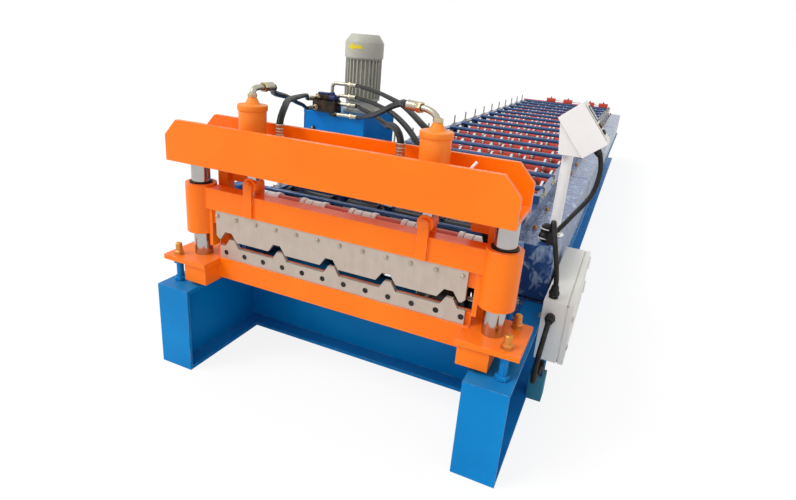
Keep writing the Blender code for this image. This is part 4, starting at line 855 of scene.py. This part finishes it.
# Pump motor: finned body on a bolted flange, sheet cowl with its air grille, terminal box and turning arrow
motorSettings = {
    "axis": (-0.966, 1.693), "finCount": 28, "finReach": (0.108, 0.1305), "finHeights": (0.918, 1.178),
    "finThickness": 0.008, "cowlFoot": 1.19, "top": 1.35, "cowl": 0.138, "arrow": 1.264,
    "arrowTurn": 92, "grille": (0.022, 0.036, 0.05, 0.064, 0.078), "flangeBolts": 8,
}
form = lathe([(0.132, 0.8105), (0.134, 0.8125), (0.134, 0.832), (0.131, 0.835), (0.12, 0.84), (0.116, 0.895),
    (0.128, 0.9), (0.13, 0.902), (0.13, 0.914), (0.128, 0.916), (0.109, 0.918), (0.109, 1.178), (0.128, 1.18),
    (0.13, 1.182), (0.13, 1.189)], 64)
low, high = motorSettings["finHeights"]
near, far = motorSettings["finReach"]
thick = motorSettings["finThickness"] / 2
for turn in evenTurns(motorSettings["finCount"]):
    join(form, block((near, -thick, low), (far, thick, high), 0), turn)
for turn in evenTurns(motorSettings["flangeBolts"]):
    join(form, fastener(0.015, 0.009, 1.25, 12), turn @ Matrix.Translation((0.126, 0, 0.8345)), slot=1)
top, cowl, foot = motorSettings["top"], motorSettings["cowl"], motorSettings["cowlFoot"]
join(form, turned([(cowl - 0.002, foot), (cowl, foot), (cowl, top - 0.058), (cowl - 0.002, top - 0.052),
    (cowl - 0.036, top - 0.003), (cowl - 0.041, top - 0.0008), (0.092, top), (0.09, top - 0.003),
    (cowl - 0.042, top - 0.004), (cowl - 0.038, top - 0.006), (cowl - 0.004, top - 0.054), (cowl - 0.002, top - 0.059),
    (cowl - 0.002, foot)], 64))
for radius in motorSettings["grille"]:
    join(form, lathe([(radius + 0.003, top - 0.0035), (radius + 0.003, top - 0.001)], 40, radius))
for number in range(6):
    turn = Matrix.Rotation(math.pi * number / 3, 4, "Z")
    join(form, block((0.01, -0.0018, top - 0.004), (0.093, 0.0018, top - 0.0005), 0), turn)
join(form, lathe([(0.014, top - 0.0005), (0.014, top - 0.004)], 24))
join(form, lathe([(0.096, top - 0.012), (0.096, top - 0.014)], 32), slot=2)
join(form, block((-0.056, 0.112, 0.964), (0.056, 0.172, 1.086), 0.005))
join(form, block((-0.059, 0.1715, 0.961), (0.059, 0.1755, 1.089), 0.002))
for x in (-0.05, 0.05):
    for z in (0.97, 1.08):
        join(form, fastener(0.007, 0.004, 1.1, 8), (x, 0.1755, z), (0, 1, 0), slot=1)
arrow = plate([(-0.06, 0.0), (-0.016, 0.027), (-0.016, 0.012), (0.055, 0.012), (0.055, -0.012), (-0.016, -0.012),
    (-0.016, -0.027)], 0.0006)
for step in range(22):
    bmesh.ops.bisect_plane(arrow, geom=arrow.verts[:] + arrow.edges[:] + arrow.faces[:],
        plane_co=(-0.055 + 0.005 * step, 0, 0), plane_no=(1, 0, 0))
for vert in arrow.verts:
    around, out = vert.co.x / cowl - math.radians(motorSettings["arrowTurn"]), cowl + vert.co.z + 0.0003
    vert.co = out * math.cos(around), out * math.sin(around), motorSettings["arrow"] + vert.co.y
join(form, arrow, slot=3)
finished("pump_motor_finned", form, "motor_grey", "greyEnamel", "zincPlate", "blackPlastic", "signalYellow",
    replaced=["pump_motor"], place=Matrix.Translation((*motorSettings["axis"], 0)))

# Tank: folded rim, lid screws, filler cap, oil level glass, drain plug and welded corners
tankSettings = {"x": (-1.3, -0.81), "y": (1.443, 1.943), "rim": 0.003, "rimHeights": (0.788, 0.8095), "lid": 0.8102}
form = bmesh.new()
(left, right), (front, back), rim = tankSettings["x"], tankSettings["y"], tankSettings["rim"]
foot, top = tankSettings["rimHeights"]
for x1, y1, x2, y2 in ((left - rim, front - rim, right + rim, front), (left - rim, back, right + rim, back + rim),
        (left - rim, front, left, back), (right, front, right + rim, back)):
    join(form, block((x1, y1, foot), (x2, y2, top), 0.001, 1))
for x in (left + 0.002, right - 0.002):
    for y in (front - 0.001, back + 0.001):
        weldBead(form, (x, y, 0.01), (x, y, 0.785), 0.004, 0.007)
finished("tank_rim", form, "frame_blue", "tankBlueEnamel")
form = bmesh.new()
for x in (left + 0.02, (left + right) / 2 - 0.12, right - 0.02):
    for y in (front + 0.118, (front + back) / 2 + 0.05, back - 0.02):
        if (Vector((x, y)) - Vector(motorSettings["axis"])).length > 0.15:
            join(form, fastener(0.01, 0.006, 1.3, 12), (x, y, tankSettings["lid"]), spin=31 * x + 17 * y)
join(form, turned([(0, 0.046), (0.018, 0.045), (0.034, 0.038), (0.038, 0.03), (0.038, 0.014), (0.034, 0.012),
    (0.03, 0.012), (0.03, 0.004), (0.04, 0.004), (0.04, 0.0), (0, 0.0)], 32), (-1.235, 1.61, 0.8103), slot=1)
join(form, block((-1.232, front - 0.016, 0.52), (-1.208, front - 0.0003, 0.7), 0.003), slot=2)
join(form, block((-1.226, front - 0.0175, 0.545), (-1.214, front - 0.015, 0.675), 0.001), slot=3)
for z in (0.53, 0.69):
    join(form, fastener(0.012, 0.006, 1.2, 12), (-1.22, front - 0.016, z), (0, -1, 0))
join(form, fastener(0.022, 0.012, 1.4, 16), (-1.1, front - 0.0003, 0.05), (0, -1, 0))
finished("tank_fittings", form, "valve_steel", "zincPlate", "greyPlastic", "blackPlastic", "whiteNylon")

# Manifold with its directional valve, its solenoid coil and the pipe bends up to the hoses
manifoldSettings = {
    "pipe": 0.0125, "right": -1.035, "front": 1.413, "valveFront": 1.443, "top": 0.89, "frontX": -1.19,
    "screwX": (-1.203, -1.047), "screwY": (1.423, 1.503),
}
right, front, top, radius = (manifoldSettings[key] for key in ("right", "front", "top", "pipe"))
form = block((-1.215, front, 0.8105), (right, 1.513, top), 0.003)
join(form, block((-1.0745, 1.4137, 0.79), (-1.036, 1.4377, 0.812), 0.002))
join(form, block((-1.209, 1.443, 0.8898), (-1.099, 1.503, 0.928), 0.003), slot=1)
join(form, block((-1.196, 1.452, 0.9278), (-1.112, 1.494, 0.942), 0.003), slot=2)
coil = [(0, 0.056), (0.007, 0.055), (0.008, 0.05), (0.012, 0.049), (0.022, 0.047), (0.024, 0.045), (0.024, 0.006),
    (0.021, 0.003), (0.01, 0.002), (0.01, 0.0), (0, 0.0)]
join(form, turned(coil, 28), (-1.0985, 1.458, 0.913), (1, 0, 0), slot=2)
join(form, block((-1.09, 1.436, 0.93), (-1.064, 1.47, 0.95), 0.003), slot=2)
for x in manifoldSettings["screwX"]:
    for y in manifoldSettings["screwY"]:
        join(form, lathe([(0.0035, 0.006), (0.0035, 0.008), (0.0065, 0.008), (0.007, 0.007), (0.007, 0.0)], 16),
            (x, y, 0.8898), slot=1)
for inset, rise in ((0.02, 0.9303), (0.065, 1.0113)):
    x, y = right - inset, 1.49
    route = [(x, y, 0.88), (x, y, rise - 0.03), (x + 0.0022, y, rise - 0.017), (x + 0.009, y, rise - 0.008),
        (x + 0.018, y, rise - 0.002), (x + 0.03, y, rise), (-0.95, y, rise)]
    join(form, pipe(route, radius), slot=3)
    join(form, fastener(0.03, 0.016, 1.1, 20), (x, y, top), slot=1)
for y, z, reach in ((1.47, 0.8753, 0.099), (1.426, 0.8063, 0.135)):
    join(form, pipe([(right - 0.015, y, z), (right + reach, y, z)], radius), slot=3)
    join(form, fastener(0.032, 0.018, 1.1, 20), (right, y, z), (1, 0, 0), slot=1)
x = manifoldSettings["frontX"]
for z, front in ((0.8383, manifoldSettings["front"]), (0.9053, manifoldSettings["valveFront"])):
    join(form, pipe([(x, 1.45, z), (x, 1.353, z)], radius), slot=3)
    join(form, fastener(0.032, 0.018, 1.1, 20), (x, front, z), (0, -1, 0), slot=4)
# The manifold block and its valve are coloured nearly black: painted shade
finished("valve_block_machined", form, "valve_steel", "blackedSteel", "blackedSteel", "violetCoil", "zincPlate",
    "fittingBrass", replaced=["valve_block"])

# Orbital motor of the roll drive: cast body with its gerotor ring and end cover, square flange and shaft
driveSettings = {"spot": (0.23, -0.037, 0.4023), "ports": (0.29, 0.37), "bolts": 6, "boltCircle": 0.03}
form = lathe([(0.04, 0.0), (0.042, 0.002), (0.042, 0.02), (0.0405, 0.021), (0.0405, 0.023), (0.042, 0.024),
    (0.042, 0.048), (0.0405, 0.049), (0.0405, 0.051), (0.042, 0.052), (0.042, 0.15), (0.036, 0.156), (0.036, 0.186)],
    40)
join(form, block((-0.041, -0.041, 0.184), (0.041, 0.041, 0.2), 0.003))
join(form, lathe([(0.011, 0.312), (0.011, 0.198)], 20), slot=1)
for turn in evenTurns(driveSettings["bolts"]):
    spot = turn @ Matrix.Translation((driveSettings["boltCircle"], 0, 0)) @ Matrix.Rotation(math.pi, 4, "X")
    join(form, fastener(0.011, 0.006, 1.0, 8), spot, slot=1)
x, y, z = driveSettings["spot"]
bmesh.ops.transform(form, matrix=placed((x, y, z), (1, 0, 0)), verts=form.verts)
for x in driveSettings["ports"]:
    join(form, lathe([(0.013, 0.07), (0.013, 0.044), (0.02, 0.043), (0.02, 0.03)], 20), (x, y, z), (0, -1, 0))
join(form, block((0.251, -0.07, 0.3544), (0.409, -0.004, 0.38), 0.003))
finished("drive_motor_cast", form, "motor_black", "blackEnamel", "zincPlate", replaced=["drive_motor"])
print("hydraulics built")

# Console: round post on its flange, panel with a display and push buttons, slotted strip along one edge
consoleSettings = {
    "centre": (0.7073, 0.37, 1.0566), "half": (0.0935, 0.065, 0.0545), "slots": 26, "slotPitch": 0.0062,
    "post": (0.6643, 0.37), "screwCircle": 0.032,
}
form = lathe([(0.022, 0.603), (0.022, 0.956)], 48, 0.0216)
join(form, lathe([(0.04, 0.6008), (0.042, 0.602), (0.042, 0.606), (0.04, 0.607)], 40, 0.0221))
(x, y), circle = consoleSettings["post"], consoleSettings["screwCircle"]
bmesh.ops.translate(form, verts=form.verts, vec=(x, y, 0))
for turn in (math.pi * (number + 0.5) / 2 for number in range(4)):
    join(form, fastener(0.01, 0.005, 1.2, 10), (x + circle * math.cos(turn), y + circle * math.sin(turn), 0.607),
        slot=1)
finished("console_post_round", form, "cabinet_white", "whitePowderCoat", "zincPlate")
halfX, halfY, halfZ = consoleSettings["half"]
form = block((-halfX + 0.008, -halfY + 0.016, halfZ), (halfX - 0.008, halfY - 0.006, halfZ + 0.0016), 0.0007, 1)
for number in range(consoleSettings["slots"]):
    x = -halfX + 0.014 + number * consoleSettings["slotPitch"]
    join(form, block((x, -halfY + 0.003, halfZ - 0.0002), (x + 0.0038, -halfY + 0.0125, halfZ + 0.0007), 0), slot=1)
join(form, block((-0.07, -0.02, halfZ + 0.0014), (0.0, 0.042, halfZ + 0.0036), 0.0012), slot=1)
join(form, block((-0.064, -0.014, halfZ + 0.0034), (-0.006, 0.036, halfZ + 0.004), 0.0002, 1), slot=2)
button = [(0, 0.006), (0.007, 0.0058), (0.008, 0.005), (0.008, 0.004), (0.0105, 0.0035), (0.0115, 0.0025),
    (0.0115, 0.0), (0, 0.0)]
for x, y, slot in ((0.02, 0.036, 3), (0.02, 0.008, 4), (0.02, -0.02, 1), (0.048, -0.02, 1), (0.048, 0.008, 1)):
    join(form, turned(button, 24), Matrix.Translation((x, y, halfZ + 0.0015)), slot=slot)
finished("console_panel", form, "cabinet_white", "cabinetPowderCoat", "blackPlastic", "darkDisplay", "signalGreen",
    "signalRed", place=Matrix.Translation(consoleSettings["centre"]) @ Matrix.Rotation(tilt, 4, "Y"))

# Cabinet: pale seal in the door's gap, quarter-turn locks, and the brackets on the rail
cabinetSettings = {
    "sealX": (0.7956, 0.8), "sealY": (-0.006, 0.647), "sealZ": (0.22, 0.457), "seal": 0.01, "lockSpot": (0.8203, 0.02),
    "lockHeights": (0.28, 0.4), "brackets": (0.06, 0.56), "bracketWidth": 0.04,
}
form = bmesh.new()
(inner, outer), (near, far), (foot, top) = (cabinetSettings[key] for key in ("sealX", "sealY", "sealZ"))
width = cabinetSettings["seal"]
for y1, z1, y2, z2 in ((near, foot, near + width, top), (far - width, foot, far, top),
        (near, foot, far, foot + width), (near, top - width, far, top)):
    join(form, block((inner, y1, z1), (outer, y2, z2), 0.001, 1))
finished("cabinet_seal", form, "cabinet_white", "cabinetPowderCoat")
form = bmesh.new()
for z in cabinetSettings["lockHeights"]:
    spot = (*cabinetSettings["lockSpot"], z)
    join(form, lathe([(0.01, 0.0035), (0.0125, 0.002), (0.0125, 0.0003)], 28), spot, (1, 0, 0))
    join(form, block((-0.0012, -0.006, 0.003), (0.0012, 0.006, 0.0045), 0), spot, (1, 0, 0), 25, slot=1)
finished("cabinet_door_fittings", form, "cabinet_white", "zincPlate", "blackPlastic", body="door")
form = bmesh.new()
for y in cabinetSettings["brackets"]:
    far = y + cabinetSettings["bracketWidth"]
    join(form, block((0.694, y, 0.3544), (0.7102, far, 0.3584), 0.001, 1))
    join(form, block((0.7062, y, 0.3544), (0.7102, far, 0.394), 0.001, 1))
    join(form, fastener(0.01, 0.006, 1.2, 12), (0.699, y + 0.02, 0.3584))
finished("cabinet_brackets", form, "valve_steel", "zincPlate")

# Outlet column faces in their brighter blue, the teal floor foot and its black junction head
mirrored("column_faces", (0.5714, -0.1726, 0.3665), (0.6206, -0.1165, 0.7109), 0.0015, 2, "deck_blue",
    "columnBlueEnamel")
form = block((0.7045, 0.0295, 0.0004), (0.7655, 0.1005, 0.1106), 0.002)
join(form, block((0.7145, 0.0345, 0.1106), (0.7555, 0.0955, 0.1905), 0.005), slot=1)
join(form, turned([(0.0156, 0.0), (0.021, 0.001), (0.021, 0.01), (0.0156, 0.011), (0.0156, 0.0)], 6),
    (0.735, 0.03, 0.15), (0, -1, 0), slot=1)
finished("floor_foot_cover", form, "frame_blue", "tealEnamel", "blackPlastic")

# Chain guard: lap joints between its sheets, pan-head screws, a rubber seal at its near end, the taped cable bundle
guardSettings = {
    "laps": (1.6, 3.02, 4.44), "first": 0.3, "pitch": 0.32, "count": 18, "side": 0.7003, "screwHeights": (0.38, 0.56),
}
form = bmesh.new()
for y in guardSettings["laps"]:
    join(form, block((0.5606, y, 0.6003), (0.69, y + 0.03, 0.6013), 0.0004, 1))
    join(form, block((0.7003, y, 0.358), (0.7013, y + 0.03, 0.59), 0.0004, 1))
finished("guard_lap_joints", form, "guard_film", "filmedBlue")
form = bmesh.new()
pan = turned([(0, 0.004), (0.004, 0.0036), (0.0065, 0.002), (0.007, 0.0), (0, 0.0)], 12)
for step in range(guardSettings["count"]):
    y = guardSettings["first"] + guardSettings["pitch"] * step
    for z in guardSettings["screwHeights"]:
        join(form, pan, (guardSettings["side"], y, z), (1, 0, 0), keep=True)
    join(form, fastener(0.016, 0.01, 1.2, 10, 0.006), (0.58, y + 0.1, 0.6004), spin=37 * step, slot=1)
pan.free()
for low, high in (((0.561, 0.177, 0.367), (0.696, 0.1797, 0.373)), ((0.561, 0.177, 0.373), (0.565, 0.1797, 0.594))):
    join(form, block(low, high, 0.0008, 1), slot=2)
finished("guard_fasteners", form, "valve_steel", "zincPlate", "rustedNut", "blackRubber")
bundleSettings = {
    "spot": (0.64, 0.25, 0.601), "lean": 0.1, "wave": 0.07, "perMetre": 300, "tapes": {0.012: 0.0235, 0.052: 0.025},
}
bundle = turned([(0, 0.0), (0.012, 0.002), (0.021, 0.012), (0.024, 0.026), (0.019, 0.038), (0.023, 0.052),
    (0.02, 0.066), (0.011, 0.076), (0, 0.078)], 24)
bmesh.ops.subdivide_edges(bundle, edges=bundle.edges[:], cuts=1, use_grid_fill=True)
for vert in bundle.verts:
    wave = math.sin(vert.co.z * bundleSettings["perMetre"] + 3 * math.atan2(vert.co.y, vert.co.x))
    vert.co.x *= 1 + bundleSettings["wave"] * wave
    vert.co.y *= 1 + bundleSettings["wave"] * wave
form = bmesh.new()
(x, y, z), lean = bundleSettings["spot"], bundleSettings["lean"]
join(form, bundle, (x, y, z), (lean, lean, 1))
for rise, radius in bundleSettings["tapes"].items():
    join(form, lathe([(radius, 0.0), (radius, 0.004)], 24, radius - 0.0015),
        (x + lean * rise, y + lean * rise, z + rise), (lean, lean, 1), slot=1)
finished("taped_cable_bundle", form, "black_hose", "blackPlastic", "whiteNylon")
print("console, cabinet and guard fitted")

# Entry guide: adjusting screws on its red blocks, and the white-sleeved rod they slide on
guideSettings = {"y": 5.838, "rodZ": 0.699, "rodX": (-0.256, 0.526), "rod": 0.008, "blocks": (-0.2, 0.02, 0.3, 0.47)}
y = guideSettings["y"]
form = pipe([(x, y, guideSettings["rodZ"]) for x in guideSettings["rodX"]], guideSettings["rod"], 16)
for x in guideSettings["blocks"]:
    join(form, fastener(0.016, 0.01, 1.2, 10, 0.012), (x, y, 0.7215), slot=1)
    join(form, block((x - 0.056, y - 0.026, 0.6745), (x + 0.056, y + 0.026, 0.722), 0.004), slot=2)
finished("entry_guide_fittings", form, "roll_red", "whiteNylon", "blackedSteel", "redOxideEnamel")

# Crossbeam: gusset beside each rear post, and the pale stop rod that leans in the channel
mirrored("post_gussets", (0.462, -0.264, 0.76), (0.5295, -0.252, 0.8625), 0.0015, 1, "shear_orange", "orangeEnamel")
form = pipe([(0.452, -0.452, 0.96), (0.5, -0.44, 1.029)], 0.0045, 12)
join(form, lathe([(0.009, 0.0), (0.009, 0.006)], 12), (0.451, -0.452, 0.955))
finished("stop_rod", form, "valve_steel", "whiteNylon")
print("guide and crossbeam finished")
